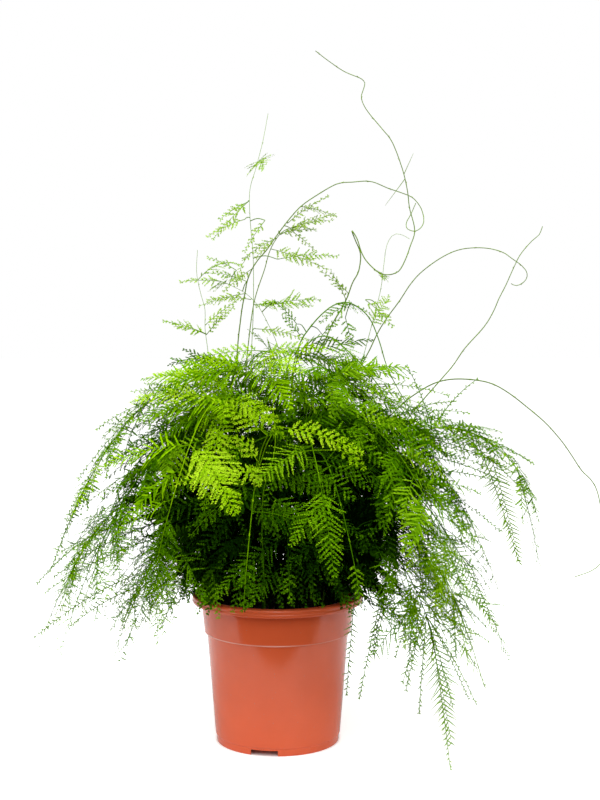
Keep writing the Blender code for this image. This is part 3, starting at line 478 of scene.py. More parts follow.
def side_frond(stem, share, hand, draw, size):
    """A frond that leaves the stem to one side at a share of its length."""
    place = share * (len(stem.route) - 1)
    low = min(int(place), len(stem.route) - 2)
    root = stem.route[low] + (stem.route[low + 1] - stem.route[low]) * (place - low)
    along = unit(stem.route[low + 1] - stem.route[low])
    level = np.array([0.0, 0.0, 1.0])
    aside = np.cross(along, level)
    if np.linalg.norm(aside) < 0.2:
        turn = draw.uniform(0.0, 2 * math.pi)
        aside = np.array([math.cos(turn), math.sin(turn), 0.0])
    aside = unit(aside)
    spread = math.radians(draw.uniform(38, 78))
    lift = draw.uniform(-0.25, 0.35)
    way = unit(along * math.cos(spread) + aside * hand * math.sin(spread) + level * lift)
    outward = unit(root * [1, 1, 0] + [0, -1 * MM, 0])
    up = unit(level * 0.8 + outward * 0.6 + aside * draw.uniform(-0.3, 0.3))
    length = stem.frond_length * size * draw.uniform(0.85, 1.12)
    return Frond(root, way, up, length, length * draw.uniform(0.33, 0.42), draw.uniform(0.3, 1.1))


def fits(frond, room, owner, stem):
    """Whether the frond is clear of every other stem and hangs no lower than it may."""
    points = frond.samples()
    hang_height = FLOOR_GAP if stem.name in FREE_HANGING else HANG_HEIGHT
    high = bool(np.all(points[:, 2] >= lowest_foliage(points, hang_height)))
    return high and room.clashes(points, owner)[0] == 0


def grow_tips(stems, room):
    """Carries each leafy stem on past its end with a frond, as large as fits."""
    for owner, stem in enumerate(stems, start=1):
        if stem.wanted == 0 or stem.name in BARE_TIPS or stem.tip is not None:
            continue
        for size in (1.0, 0.85, 0.7, 0.55, 0.4):
            frond = tip_frond(stem, size)
            if fits(frond, room, owner, stem):
                stem.tip = frond
                room.take(frond.samples(), owner, FROND_CLEARANCE)
                break


def grow_sides(stems, room):
    """Gives each stem its side fronds, in rounds, where there is room for them."""
    draw = np.random.default_rng(SEED + 1)
    for turn in range(max(stem.wanted for stem in stems)):
        for owner, stem in enumerate(stems, start=1):
            if turn >= stem.wanted:
                continue
            share = 0.90 - 0.50 * turn / max(1, stem.wanted - 1)
            best = None
            for attempt in range(48):
                hand = 1 if (turn + owner + (attempt > 20)) % 2 else -1
                size = 1.0 - 0.6 * attempt / 47
                place = min(0.95, max(0.3, share + draw.uniform(-0.07, 0.07)))
                frond = side_frond(stem, place, hand, draw, size)
                if not fits(frond, room, owner, stem):
                    continue
                points = frond.samples()
                away = points[np.linalg.norm(points - frond.root, axis=1) > ROOT_FREE]
                own = room.clashes(away, owner)[1] if len(away) else 0
                if best is None or own < best[0]:
                    best = (own, frond)
                if own == 0:
                    break
            if best is not None:
                stem.fronds.append(best[1])
                room.take(best[1].samples(), owner, FROND_CLEARANCE)


def plan_plant():
    """Every stem with its fronds, none of them within reach of another."""
    room = Room()
    stems = climbers() + traced_stems()
    for owner, stem in enumerate(stems, start=1):
        room.take(even_route(stem.route, 2 * MM), owner, STEM_CLEARANCE)
    for owner, stem in enumerate(stems, start=1):
        for name, root, tip, width in SPRAYS:
            if name == stem.name:
                frond = traced_spray(stem, root, tip, width)
                stem.fronds.append(frond)
                room.take(frond.samples(), owner, FROND_CLEARANCE)
        for name, root, tip in TWIGS:
            if name == stem.name:
                near = np.argmin(np.linalg.norm(stem.route - np.array(root) * MM, axis=1))
                stem.twigs.append(np.array([stem.route[near], np.array(tip) * MM]))
                room.take(even_route(stem.twigs[-1], 2 * MM), owner, STEM_CLEARANCE)
    grow_tips(stems, room)
    stems += tier_stems(room, len(stems) + 1)
    grow_tips(stems, room)
    grow_sides(stems, room)
    return stems


# ---- looks ----
BUSH_CENTRE = np.array([10, 0, 225]) * MM
BUSH_RADII = np.array([200, 172, 152]) * MM

# Wisps over the crown and at its sides in millimetres: root, tip, width
WISPS = (
    ((-29, 8, 535), (-55, 2, 518), 9),
    ((-32, 6, 518), (-67, 0, 501), 10),
    ((-12, 4, 517), (-31, -2, 487), 8),
    ((3, 4, 503), (55, -2, 523), 11),
    ((10, 2, 514), (48, -4, 540), 8),
    ((2, 10, 504), (36, 4, 508), 9),
    ((0, 14, 479), (58, 8, 482), 15),
    ((16, 0, 505), (34, -6, 489), 6),
    ((-5, -4, 494), (-20, -10, 481), 8),
    ((-27, 6, 485), (-36, 0, 470), 5),
    ((-41, 24, 468), (-68, 18, 481), 9),
    ((-31, 26, 457), (-63, 20, 466), 12),
    ((-27, 30, 439), (-69, 24, 439), 8),
    ((-70, 4, 405), (-44, -2, 432), 9),
    ((-71, 0, 406), (-99, -6, 414), 11),
    ((-22, 24, 410), (28, 18, 399), 13),
    ((-1, 18, 435), (41, 12, 439), 17),
    ((1, 20, 437), (-20, 14, 433), 9),
    ((67, -4, 440), (53, -10, 467), 5),
    ((19, -8, 416), (-1, -14, 438), 9),
    ((72, -22, 437), (43, -28, 419), 14),
    ((66, -26, 423), (72, -32, 396), 14),
    ((87, 20, 439), (113, 14, 413), 14),
    ((22, -20, 406), (6, -26, 424), 10),
    ((44, -20, 406), (61, -26, 423), 9),
    ((148, -112, 112), (161, -122, 9), 9),
    ((140, -104, 150), (120, -96, 84), 18),
    ((156, -46, 180), (150, -52, 96), 18),
    ((110, -80, 200), (92, -86, 112), 16),
)

# Fronds that show in front in millimetres: root, tip, width, tone
YOUNG_FRONT = (
    ((-6, -146, 288), (-87, -156, 280), 16, 0.10),
    ((-16, -146, 299), (-33, -150, 321), 15, 0.08),
    ((-23, -148, 296), (-15, -152, 279), 12, 0.10),
    ((-7, -140, 321), (-53, -146, 354), 19, 0.02),
    ((-13, -138, 351), (5, -142, 321), 13, 0.02),
    ((3, -146, 330), (76, -156, 307), 19, 0.10),
    ((58, -146, 309), (78, -152, 294), 12, -0.05),
    ((-11, -64, 393), (-83, -72, 383), 13, 0.00),
    ((-14, -64, 392), (52, -70, 394), 12, 0.00),
    ((22, -70, 394), (-13, -80, 374), 13, -0.05),
)
FRONT = (
    ((61, -100, 245), (42, -118, 203), 21, 0.10),
    ((53, -84, 204), (55, -92, 177), 12, 0.12),
    ((-23, -104, 255), (0, -116, 224), 15, 0.06),
    ((-48, -110, 266), (-28, -112, 223), 7, 0.10),
    ((-27, -70, 188), (-40, -86, 149), 14, 0.08),
    ((-59, -84, 181), (-55, -92, 145), 12, 0.18),
    ((3, -56, 177), (15, -70, 157), 10, -0.10),
    ((43, -80, 200), (50, -90, 177), 8, 0.04),
    ((-8, -88, 216), (-16, -96, 199), 10, 0.02),
    ((-3, -128, 264), (19, -140, 244), 26, 0.08),
    ((63, -60, 183), (86, -66, 158), 13, -0.06),
    ((31, -128, 288), (69, -136, 262), 20, 0.02),
    ((-41, -96, 237), (-71, -104, 205), 20, 0.00),
    ((-66, -96, 256), (-107, -104, 239), 20, 0.02),
    ((86, -112, 286), (114, -120, 246), 20, 0.00),
    ((110, -100, 313), (151, -110, 286), 18, 0.00),
    ((22, -56, 167), (43, -72, 150), 10, -0.05),
    ((-14, -60, 173), (-25, -74, 153), 10, -0.10),
    ((-29, -112, 270), (0, -120, 224), 15, 0.04),
    ((12, -70, 218), (15, -84, 155), 9, -0.02),
    ((18, -62, 212), (22, -80, 160), 8, -0.08),
    ((32, -60, 207), (35, -78, 155), 8, -0.05),
    ((46, -84, 197), (50, -90, 176), 7, 0.08),
    ((55, -70, 180), (61, -82, 157), 8, -0.02),
    ((-1, -60, 183), (4, -78, 152), 9, -0.06),
    ((-35, -60, 192), (-68, -76, 157), 12, -0.04),
    ((-11, -60, 204), (-14, -78, 158), 11, -0.08),
    ((90, -90, 236), (80, -98, 207), 14, 0.06),
    ((102, -84, 226), (108, -94, 193), 13, 0.05),
    ((111, -95, 251), (89, -105, 225), 14, 0.08),
    ((-50, -100, 266), (-79, -110, 232), 14, 0.04),
    ((-34, -96, 256), (-57, -106, 213), 12, 0.00),
    ((-61, -105, 285), (-97, -112, 258), 15, 0.06),
    ((-65, -110, 314), (-106, -116, 294), 15, 0.06),
    ((50, -112, 291), (84, -122, 269), 14, 0.02),
    ((22, -118, 287), (50, -126, 261), 13, 0.00),
    ((70, -118, 315), (100, -124, 288), 16, 0.05),
    ((-43, -90, 236), (-51, -98, 194), 12, -0.02),
    ((75, -66, 194), (90, -80, 168), 12, -0.04),
    ((49, -128, 325), (87, -136, 320), 14, 0.02),
    ((-16, -132, 316), (-39, -138, 297), 13, 0.02),
    ((6, -124, 295), (-7, -130, 261), 13, 0.02),
    ((31, -118, 351), (69, -126, 348), 14, 0.06),
    ((-23, -118, 356), (-64, -124, 350), 15, 0.06),
    ((68, -112, 343), (111, -120, 324), 15, 0.06),
    ((13, -108, 258), (-13, -116, 222), 13, -0.04),
)
# Fronds inside the bush behind those, darkened as painted shade: root, tip, width, tone
BEHIND = (
    ((-58, -18, 262), (-70, -30, 168), 26, -0.30),
    ((-36, -20, 256), (-46, -32, 162), 26, -0.30),
    ((-18, -10, 262), (-28, -22, 166), 26, -0.32),
    ((0, -24, 268), (-10, -40, 170), 26, -0.30),
    ((16, -4, 246), (14, -16, 150), 26, -0.34),
    ((32, -24, 262), (36, -38, 166), 26, -0.30),
    ((48, 4, 250), (52, -8, 154), 26, -0.34),
    ((62, -16, 262), (72, -30, 164), 26, -0.30),
    ((-8, 20, 240), (-12, 8, 146), 26, -0.34),
    ((84, -10, 256), (96, -24, 166), 24, -0.30),
    ((-28, 30, 236), (-30, 24, 152), 28, -0.34),
    ((-12, 30, 236), (-8, 24, 150), 28, -0.34),
    ((6, 34, 232), (6, 28, 150), 28, -0.34),
    ((22, 30, 236), (24, 24, 152), 28, -0.34),
)
# Looser fronds at the right, at the left and hanging: root, tip, width, tone, style
SIDES = (
    ((141, -20, 352), (128, -20, 376), 5, 0.00, "wisp"),
    ((137, -26, 351), (172, -30, 344), 7, 0.06, "wisp"),
    ((170, -26, 345), (201, -30, 314), 5, 0.00, "wisp"),
    ((183, -24, 339), (246, -24, 280), 7, 0.08, "loose"),
    ((149, -40, 321), (226, -44, 295), 7, -0.06, "loose"),
    ((148, -30, 341), (224, -34, 276), 10, 0.06, "wisp"),
    ((162, -40, 299), (226, -46, 273), 10, 0.06, "wisp"),
    ((149, -50, 274), (213, -54, 267), 9, 0.00, "wisp"),
    ((144, -44, 261), (211, -50, 216), 6, -0.04, "loose"),
    ((142, -50, 254), (178, -54, 220), 5, -0.02, "loose"),
    ((117, -60, 262), (179, -66, 222), 7, -0.04, "loose"),
    ((103, -66, 230), (169, -72, 198), 8, -0.02, "loose"),
    ((93, -70, 225), (157, -76, 176), 8, -0.02, "loose"),
    ((103, -50, 347), (148, -56, 334), 15, 0.08, "loose"),
    ((107, -62, 332), (169, -66, 318), 15, 0.10, "loose"),
    ((102, -72, 317), (163, -76, 296), 16, 0.10, "loose"),
    ((105, -78, 299), (155, -84, 275), 15, 0.06, "loose"),
    ((95, -84, 284), (145, -90, 253), 15, 0.06, "loose"),
    ((117, -60, 270), (167, -66, 251), 13, 0.04, "loose"),
    ((204, -36, 268), (230, -40, 189), 17, 0.10, "wisp"),
    ((187, -36, 276), (237, -40, 251), 8, 0.08, "wisp"),
    ((124, -30, 365), (165, -34, 348), 9, 0.04, "loose"),
    ((158, -26, 363), (191, -26, 365), 4, 0.04, "wisp"),
    ((-145, -20, 344), (-174, -22, 313), 5, 0.02, "loose"),
    ((-124, -30, 226), (-208, -34, 194), 10, 0.08, "wisp"),
    ((-128, -34, 207), (-214, -38, 169), 11, 0.08, "wisp"),
    ((-138, -36, 188), (-223, -40, 154), 11, 0.10, "wisp"),
    ((-164, -30, 157), (-234, -34, 108), 11, 0.10, "wisp"),
    ((-128, -44, 182), (-145, -50, 132), 9, 0.06, "wisp"),
    ((-108, -48, 180), (-122, -54, 135), 9, 0.06, "wisp"),
    ((-89, -56, 184), (-109, -60, 126), 10, 0.06, "wisp"),
    ((-153, -36, 148), (-199, -40, 122), 9, 0.10, "wisp"),
    ((-104, -50, 318), (-161, -56, 277), 14, 0.06, "loose"),
    ((-100, -58, 290), (-164, -64, 251), 14, 0.06, "loose"),
    ((-107, -56, 259), (-171, -60, 220), 14, 0.06, "loose"),
    ((-92, -62, 243), (-149, -68, 192), 14, 0.04, "loose"),
    ((-83, -64, 213), (-138, -70, 164), 13, 0.06, "loose"),
    ((-82, -30, 390), (-139, -34, 353), 8, 0.10, "loose"),
    ((-77, -40, 381), (-125, -44, 362), 10, 0.10, "loose"),
    ((-113, -36, 344), (-159, -40, 313), 11, 0.04, "loose"),
    ((-153, -24, 314), (-190, -26, 265), 6, -0.02, "loose"),
    ((-173, -22, 288), (-203, -24, 225), 5, -0.02, "loose"),
    ((-195, -22, 245), (-217, -24, 180), 4, -0.02, "loose"),
    ((-207, -22, 200), (-233, -24, 161), 4, 0.00, "wisp"),
    ((157, -50, 194), (208, -50, 124), 16, 0.06, "wisp"),
    ((113, -60, 183), (166, -64, 153), 12, 0.04, "wisp"),
    ((81, -88, 154), (67, -90, 71), 11, 0.04, "wisp"),
    ((96, -86, 155), (81, -88, 67), 11, 0.04, "wisp"),
    ((105, -80, 162), (94, -84, 109), 14, 0.06, "wisp"),
    ((115, -80, 154), (138, -84, 109), 14, 0.06, "wisp"),
    ((138, -76, 161), (115, -80, 103), 12, 0.06, "wisp"),
    ((131, -84, 120), (124, -88, 73), 11, 0.04, "wisp"),
    ((143, -90, 132), (198, -94, 120), 7, 0.06, "wisp"),
    ((160, -100, 110), (177, -104, 69), 5, 0.00, "wisp"),
    ((151, -104, 102), (134, -108, 58), 8, 0.00, "wisp"),
    ((153, -106, 100), (183, -110, 66), 5, 0.04, "wisp"),
    ((123, -60, 192), (146, -64, 154), 10, 0.04, "wisp"),
    ((213, -38, 268), (232, -42, 187), 20, 0.10, "comb"),
    ((167, -70, 192), (203, -74, 126), 17, 0.10, "comb"),
    ((159, -112, 105), (161, -116, 32), 24, 0.06, "comb"),
    ((137, -24, 345), (185, -28, 332), 9, 0.04, "loose"),
    ((143, -28, 335), (194, -32, 316), 9, 0.06, "loose"),
    ((148, -32, 324), (212, -36, 303), 9, 0.06, "loose"),
    ((153, -36, 313), (225, -40, 288), 9, 0.04, "loose"),
    ((149, -40, 302), (219, -44, 279), 9, 0.08, "loose"),
    ((153, -44, 289), (214, -48, 272), 9, 0.06, "loose"),
    ((157, -44, 275), (222, -48, 262), 8, 0.06, "wisp"),
    ((172, -30, 343), (216, -34, 305), 7, -0.06, "loose"),
    ((195, -26, 338), (248, -30, 279), 5, -0.04, "wisp"),
)
# A thin young stem in front of the bush in millimetres, from its free end down
YOUNG_STEM = ((-2, -128, 361), (-2, -134, 344), (0, -140, 328), (0, -142, 315), (-2, -142, 300),
              (-6, -140, 287), (-11, -130, 268), (-13, -104, 228), (-12, -76, 185), (-12, -60, 143))


class Cloud:
    """Points, faces, tones and material numbers of one piece as they are added."""

    def __init__(self):
        self.points = []
        self.corners = []
        self.sizes = []
        self.tones = []
        self.looks = []
        self.count = 0

    def add(self, points, faces, tone, look=0):
        """Adds points (n, 3) with faces (m, k) of k corners each."""
        points = np.asarray(points, float).reshape(-1, 3)
        faces = np.asarray(faces, int)
        self.points.append(points)
        self.corners.append((faces + self.count).ravel())
        self.sizes.append(np.full(len(faces), faces.shape[1]))
        self.tones.append(np.broadcast_to(tone, (len(points),)))
        self.looks.append(np.full(len(faces), look))
        self.count += len(points)

    def append_faces(self, faces, look=0):
        """Adds faces over points that are there already."""
        self.corners.append(faces.ravel())
        self.sizes.append(np.full(len(faces), faces.shape[1]))
        self.looks.append(np.full(len(faces), look))

    def mesh(self, name):
        """The mesh of all that was added."""
        points = np.concatenate(self.points)
        corners = np.concatenate(self.corners)
        sizes = np.concatenate(self.sizes)
        mesh = bpy.data.meshes.new(name)
        mesh.vertices.add(len(points))
        mesh.vertices.foreach_set("co", points.astype(np.float32).ravel())
        mesh.loops.add(len(corners))
        mesh.loops.foreach_set("vertex_index", corners.astype(np.int32))
        mesh.polygons.add(len(sizes))
        starts = np.concatenate([[0], np.cumsum(sizes)[:-1]])
        mesh.polygons.foreach_set("loop_start", starts.astype(np.int32))
        mesh.polygons.foreach_set("material_index", np.concatenate(self.looks).astype(np.int32))
        tone = mesh.attributes.new("tone", "FLOAT", "POINT")
        tone.data.foreach_set("value", np.concatenate(self.tones).astype(np.float32))
        mesh.update(calc_edges=True)
        mesh.shade_smooth()
        return mesh


def tube(cloud, route, radii, sides, tone, look=0, closed=True):
    """A round tube along a route."""
    route = np.asarray(route)
    ways = unit(np.gradient(route, axis=0))
    up = np.array([0.013, -1.0, 0.3])
    rings = []
    angles = 2 * np.pi * np.arange(sides) / sides
    for point, way, radius in zip(route, ways, radii):
        up = unit(up - way * float(way @ up))
        side = np.cross(way, up)
        rings.append(point + radius * (np.cos(angles)[:, None] * up + np.sin(angles)[:, None] * side))
    points = np.concatenate(rings)
    ring = np.arange(len(route) - 1)[:, None] * sides
    k = np.arange(sides)[None, :]
    n = (k + 1) % sides
    faces = np.stack([ring + k, ring + n, ring + sides + n, ring + sides + k], -1).reshape(-1, 4)
    cloud.add(points, faces, tone, look)
    if closed:
        for first, at, flip in ((0, route[0], True), ((len(route) - 1) * sides, route[-1], False)):
            base = np.arange(sides)
            ring_points = points[first:first + sides]
            tris = np.stack([base, (base + 1) % sides, np.full(sides, sides)], -1)
            cloud.add(np.vstack([ring_points, at]), tris[:, ::-1] if flip else tris, tone, look)


def at_shares(frond, shares):
    """Points, ways, ups and sides of the frond's rib at many shares."""
    place = np.clip(shares, 0.0, 1.0) * RIB_STEPS
    low = np.minimum(place.astype(int), RIB_STEPS - 1)
    mix = (place - low)[:, None]
    return [row[low] * (1 - mix) + row[low + 1] * mix
            for row in (frond.points, frond.ways, frond.ups, frond.sides)]


def blades(cloud, base, way, across, length, width, tone, belly=0.42):
    """Flat pointed blades: base, two shoulders and tip."""
    shoulder = base + way * (length * belly)[:, None]
    half = across * (width * 0.5)[:, None]
    tip = base + way * length[:, None]
    points = np.stack([base, shoulder + half, tip, shoulder - half], 1).reshape(-1, 3)
    faces = np.arange(len(base) * 4).reshape(-1, 4)
    tones = np.stack([tone - 0.10, tone, tone + 0.12, tone], 1).ravel()
    cloud.add(points, faces, tones)


def strips(cloud, point, ahead, flat, top, reach, halves, tone):
    """Flat ribs of several sections that narrow to a point, one for each row."""
    n = len(halves)
    t = np.arange(n) / n
    middle = (point[:, None, :] + ahead[:, None, :] * (reach[:, None] * t)[:, :, None]
              - top[:, None, :] * (reach[:, None] * LEAFLET_SAG * t ** 2)[:, :, None])
    wide = flat[:, None, :] * np.asarray(halves)[None, :, None]
    end = point + ahead * reach[:, None] - top * (reach * LEAFLET_SAG)[:, None]
    pairs = np.stack([middle - wide, middle + wide], 2).reshape(len(point), 2 * n, 3)
    points = np.concatenate([pairs, end[:, None, :]], 1)
    first = (2 * n + 1) * np.arange(len(point))[:, None]
    lighter = 0.14 * np.append(np.repeat(t, 2), 1.0) - 0.05
    tones = (tone[:, None] + lighter).ravel()
    start = cloud.count
    quads = np.concatenate([first + 2 * k + np.array([0, 1, 3, 2]) for k in range(n - 1)])
    cloud.add(points.reshape(-1, 3), quads, tones)
    cloud.append_faces(start + first + np.array([2 * n - 2, 2 * n - 1, 2 * n]))


# How a frond is built: side ribs every pitch mm, needles on them or toothed ribs, loose or neat
Style = collections.namedtuple("Style", "pitch needle_pitch needle_length needle_width spread "
                                        "roll gaps shortest loose")
STYLES = {
    "young": Style(5.4, 1.9, 4.2, 1.20, 38, 0.18, 0.02, 0.80, 0.09),
    "fine": Style(4.8, 2.0, 2.7, 1.40, 30, 0.20, 0.05, 0.75, 0.10),
    "loose": Style(4.6, 2.0, 2.5, 1.35, 32, 0.30, 0.12, 0.50, 0.24),
    "wisp": Style(4.8, 1.8, 1.8, 0.85, 34, 0.34, 0.20, 0.50, 0.26),
    "spray": Style(4.0, 1.7, 2.9, 1.25, 30, 0.24, 0.07, 0.65, 0.18),
    "comb": Style(4.6, 2.2, 1.5, 0.75, 30, 0.30, 0.04, 0.85, 0.10),
    "airy": Style(5.2, 2.6, 2.2, 1.10, 38, 0.34, 0.22, 0.45, 0.30),
    "filler": Style(4.8, 0, 0, 0, 0, 0, 0.05, 0.70, 0.12),
    "loose_filler": Style(4.7, 0, 0, 0, 0, 0, 0.12, 0.50, 0.22),
    "core": Style(4.2, 0, 0, 0, 0, 0, 0.0, 0.80, 0.15),
}
# Styles that get airy low at the sides
AIRY_FROM = ("fine", "loose", "filler", "loose_filler")
# Half widths in mm along toothed side ribs
CORE_HALVES = (0.6, 1.7, 0.9, 1.5, 0.5)
TOOTHED_HALVES = (0.35, 1.2, 0.55, 1.2, 0.6, 1.1, 0.5, 0.85, 0.3)


def painted_depth_shading(points):
    """Painted shade and light: darker inside the bush and lighter at its outside."""
    share = bush_share(points)
    return np.clip((share - 0.88) * 1.3, -0.42, 0.21)


def front_shade(points):
    """Darker low in front of the bush, where the photo looks into it."""
    low = np.clip((250 * MM - points[..., 2]) / (60 * MM), 0.0, 1.0)
    near = np.clip((130 * MM - np.abs(points[..., 0] - 10 * MM)) / (50 * MM), 0.0, 1.0)
    front = np.clip(-points[..., 1] / (60 * MM), 0.0, 1.0)
    return -0.08 * low * near * front


def young_shade(points):
    """Painted shade: young fronds get darker and greener lower down, towards the shade below them."""
    return -0.34 * np.clip((284 * MM - points[..., 2]) / (30 * MM), 0.0, 1.0)


def low_shade(points):
    """How much darker stems get towards the pot."""
    return 0.32 * np.clip((290 * MM - points[..., 2]) / (90 * MM), 0.0, 1.0)


def feather(cloud, frond, tone, draw, style, deep=1.0):
    """The rib, side ribs and needles of one frond; deep is how much painted shade and light its place gives
    it.
    """
    shares = np.linspace(0.0, 1.0, 9)
    rib = at_shares(frond, shares)[0]
    # Painted shade deep in the bush and low in front, painted light at the bush's outside
    shade = deep * (painted_depth_shading(rib) + front_shade(rib))
    first, last = (0.55, 0.3) if style == "wisp" else (0.45, 0.15)
    tube(cloud, rib, MM * (first + (last - first) * shares), 3,
         np.repeat(tone + shade - 0.05, 3), closed=False)
    form = STYLES[style]
    middle = frond.points[len(frond.points) // 2]
    if style in AIRY_FROM and abs(middle[0] - 10 * MM) > 98 * MM and middle[2] < 225 * MM:
        form = STYLES["airy"]
    count = max(4, round(frond.length * (1 - BARE_SHARE) / (form.pitch * MM)))
    at = np.linspace(BARE_SHARE, 0.985, count)
    at = np.concatenate([at, at + 0.5 / count])
    hand = np.concatenate([np.ones(count), -np.ones(count)])
    keep = draw.random(len(at)) > form.gaps
    at = np.minimum(at, 0.99)[keep]
    hand = hand[keep]
    point, way, up, side = at_shares(frond, at)
    swell = np.minimum(1.0, 0.6 + 0.4 * (at - BARE_SHARE) / 0.15)
    taper = 0.45 if form in (STYLES["wisp"], STYLES["comb"], STYLES["airy"]) else 0.72
    reach = frond.width * swell * (1.02 - at) ** taper * draw.uniform(form.shortest, 1.08, len(at))
    reach = np.maximum(reach, 2.2 * MM)
    sweep = LEAFLET_SWEEP + draw.normal(0.0, form.loose, len(at)) + 0.25 * at
    lean = draw.normal(0.0, form.loose, len(at))[:, None]
    ahead = unit(side * (hand * np.cos(sweep))[:, None] + way * np.sin(sweep)[:, None] + up * lean)
    flat = unit(np.cross(up, ahead))
    top = np.cross(ahead, flat)
    # Painted shade and light by place on each side rib, and painted shade on young fronds low down
    shade = deep * (painted_depth_shading(point) + front_shade(point))
    if style == "young":
        shade = shade + young_shade(point)
    pinna_tone = tone + shade + draw.normal(0.0, 0.05, len(at))
    if form.needle_pitch == 0:
        halves = np.array(CORE_HALVES if style == "core" else TOOTHED_HALVES) * MM
        strips(cloud, point, ahead, flat, top, reach, halves, pinna_tone)
        return
    halves = (0.5, 0.42) if style in ("wisp", "comb") else (0.42, 0.34)
    strips(cloud, point, ahead, flat, top, reach, np.array(halves) * MM, pinna_tone - 0.03)
    number = np.maximum(1, np.round(reach / (form.needle_pitch * MM))).astype(int)
    index = np.repeat(np.arange(len(at)), number)
    order = np.concatenate([np.arange(n) for n in number])
    for flank in (-1, 1):
        t = (order + draw.uniform(0.2, 0.8, len(order))) / number[index]
        along = reach[index] * t
        base = point[index] + ahead[index] * along[:, None]
        base = base - top[index] * (reach[index] * LEAFLET_SAG * t ** 2)[:, None]
        size = form.needle_length * MM * (1.0 - 0.5 * t) * draw.uniform(0.75, 1.15, len(t))
        angle = np.radians(form.spread * (1.0 - 0.45 * t)) + draw.normal(0.0, 0.10, len(t))
        tilt = draw.normal(0.0, form.roll, len(t))[:, None]
        needle = unit(ahead[index] * np.cos(angle)[:, None]
                      + flat[index] * (flank * np.sin(angle))[:, None] + top[index] * tilt)
        shade = pinna_tone[index] + draw.normal(0.0, 0.06, len(t)) + 0.08 * t
        turn = draw.normal(0.0, 0.4, len(t))
        level = top[index] * np.cos(turn)[:, None] + flat[index] * np.sin(turn)[:, None]
        across = unit(np.cross(needle, level))
        blades(cloud, base, needle, across, size, form.needle_width * MM * np.ones(len(t)), shade)


def ramp_material(name, stops, roughness, through, slot_tone="tone", scale=38.0, spread=0.22):
    """Foliage: colour by tone with soft patches, some light let through."""
    made = bpy.data.materials.new(name)
    made.use_nodes = True
    nodes = made.node_tree.nodes
    links = made.node_tree.links
    shader = nodes["Principled BSDF"]
    output = nodes["Material Output"]
    tone = nodes.new("ShaderNodeAttribute")
    tone.attribute_name = slot_tone
    place = nodes.new("ShaderNodeTexCoord")
    patches = nodes.new("ShaderNodeTexNoise")
    patches.inputs["Scale"].default_value = scale
    patches.inputs["Detail"].default_value = 3.0
    links.new(place.outputs["Object"], patches.inputs["Vector"])
    shift = nodes.new("ShaderNodeMath")
    shift.operation = "MULTIPLY_ADD"
    shift.inputs[1].default_value = spread
    links.new(patches.outputs["Fac"], shift.inputs[0])
    minus = nodes.new("ShaderNodeMath")
    minus.operation = "SUBTRACT"
    minus.inputs[1].default_value = 0.5 * spread
    links.new(tone.outputs["Fac"], minus.inputs[0])
    links.new(minus.outputs[0], shift.inputs[2])
    ramp = nodes.new("ShaderNodeValToRGB")
    while len(ramp.color_ramp.elements) < len(stops):
        ramp.color_ramp.elements.new(0.5)
    for element, (position, colour) in zip(ramp.color_ramp.elements, stops):
        element.position = position
        element.color = (*colour, 1.0)
    links.new(shift.outputs[0], ramp.inputs["Fac"])
    links.new(ramp.outputs["Color"], shader.inputs["Base Color"])
    shader.inputs["Roughness"].default_value = roughness
    shader.inputs["Specular IOR Level"].default_value = 0.0
    if through > 0.0:
        glow = nodes.new("ShaderNodeBsdfTranslucent")
        links.new(ramp.outputs["Color"], glow.inputs["Color"])
        mix = nodes.new("ShaderNodeMixShader")
        mix.inputs[0].default_value = through
        links.new(shader.outputs[0], mix.inputs[1])
        links.new(glow.outputs[0], mix.inputs[2])
        links.new(mix.outputs[0], output.inputs["Surface"])
    made.diffuse_color = (*stops[len(stops) // 2][1], 1.0)
    return made


FOLIAGE_STOPS = {
    "young_foliage": ((0.0, (0.01, 0.05, 0.0)), (0.35, (0.10, 0.27, 0.0)),
                      (0.65, (0.29, 0.56, 0.002)), (1.0, (0.54, 0.78, 0.03))),
    "foliage": ((0.0, (0.0015, 0.010, 0.0)), (0.35, (0.028, 0.115, 0.0)),
                (0.65, (0.13, 0.33, 0.001)), (1.0, (0.34, 0.58, 0.012))),
    # A darker copy of foliage, painted shade for the lower tiers under the crown
    "dark_foliage": ((0.0, (0.001, 0.007, 0.0)), (0.35, (0.018, 0.075, 0.0)),
                     (0.65, (0.09, 0.25, 0.001)), (1.0, (0.26, 0.48, 0.008))),
    "pale_foliage": ((0.0, (0.03, 0.10, 0.0)), (0.35, (0.12, 0.29, 0.002)),
                     (0.65, (0.24, 0.47, 0.01)), (1.0, (0.40, 0.60, 0.06))),
    "climber": ((0.0, (0.03, 0.07, 0.001)), (0.35, (0.10, 0.19, 0.010)),
                (0.65, (0.19, 0.33, 0.03)), (1.0, (0.32, 0.46, 0.08))),
}
MATERIALS = {name: ramp_material(name + "_look", stops, 0.5, 0.0 if name == "climber" else 0.2)
             for name, stops in FOLIAGE_STOPS.items()}


def piece(name, mesh, node, materials):
    """An object of the model that stands for a node."""
    made = bpy.data.objects.new(name, mesh)
    bpy.context.scene.collection.objects.link(made)
    for material in materials:
        mesh.materials.append(material)
    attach(made, "root")
    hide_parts(node)
    return made


def inside_box(points):
    """Whether the points stay in the box of the solids."""
    low, high = np.array(CAD_BOX[0]), np.array(CAD_BOX[1])
    return bool(np.all(points > low - 3 * MM) and np.all(points < high + 3 * MM))


def spread_points(frond):
    """A few points over the frond that show where it is."""
    shares = np.linspace(0.1, 1.0, 8)
    point, way, up, side = at_shares(frond, shares)
    swell = np.minimum(1.0, 0.6 + 0.4 * (shares - BARE_SHARE) / 0.15)
    reach = (frond.width * swell * np.maximum(0.0, 1.02 - shares) ** 0.72)[:, None]
    arm = side * math.cos(LEAFLET_SWEEP) + way * math.sin(LEAFLET_SWEEP)
    back = way * math.sin(LEAFLET_SWEEP) - side * math.cos(LEAFLET_SWEEP)
    sag = up * LEAFLET_SAG
    return np.concatenate([point] + [point + reach * share * (one - sag)
                                     for one in (arm, back) for share in (0.5, 1.0)])


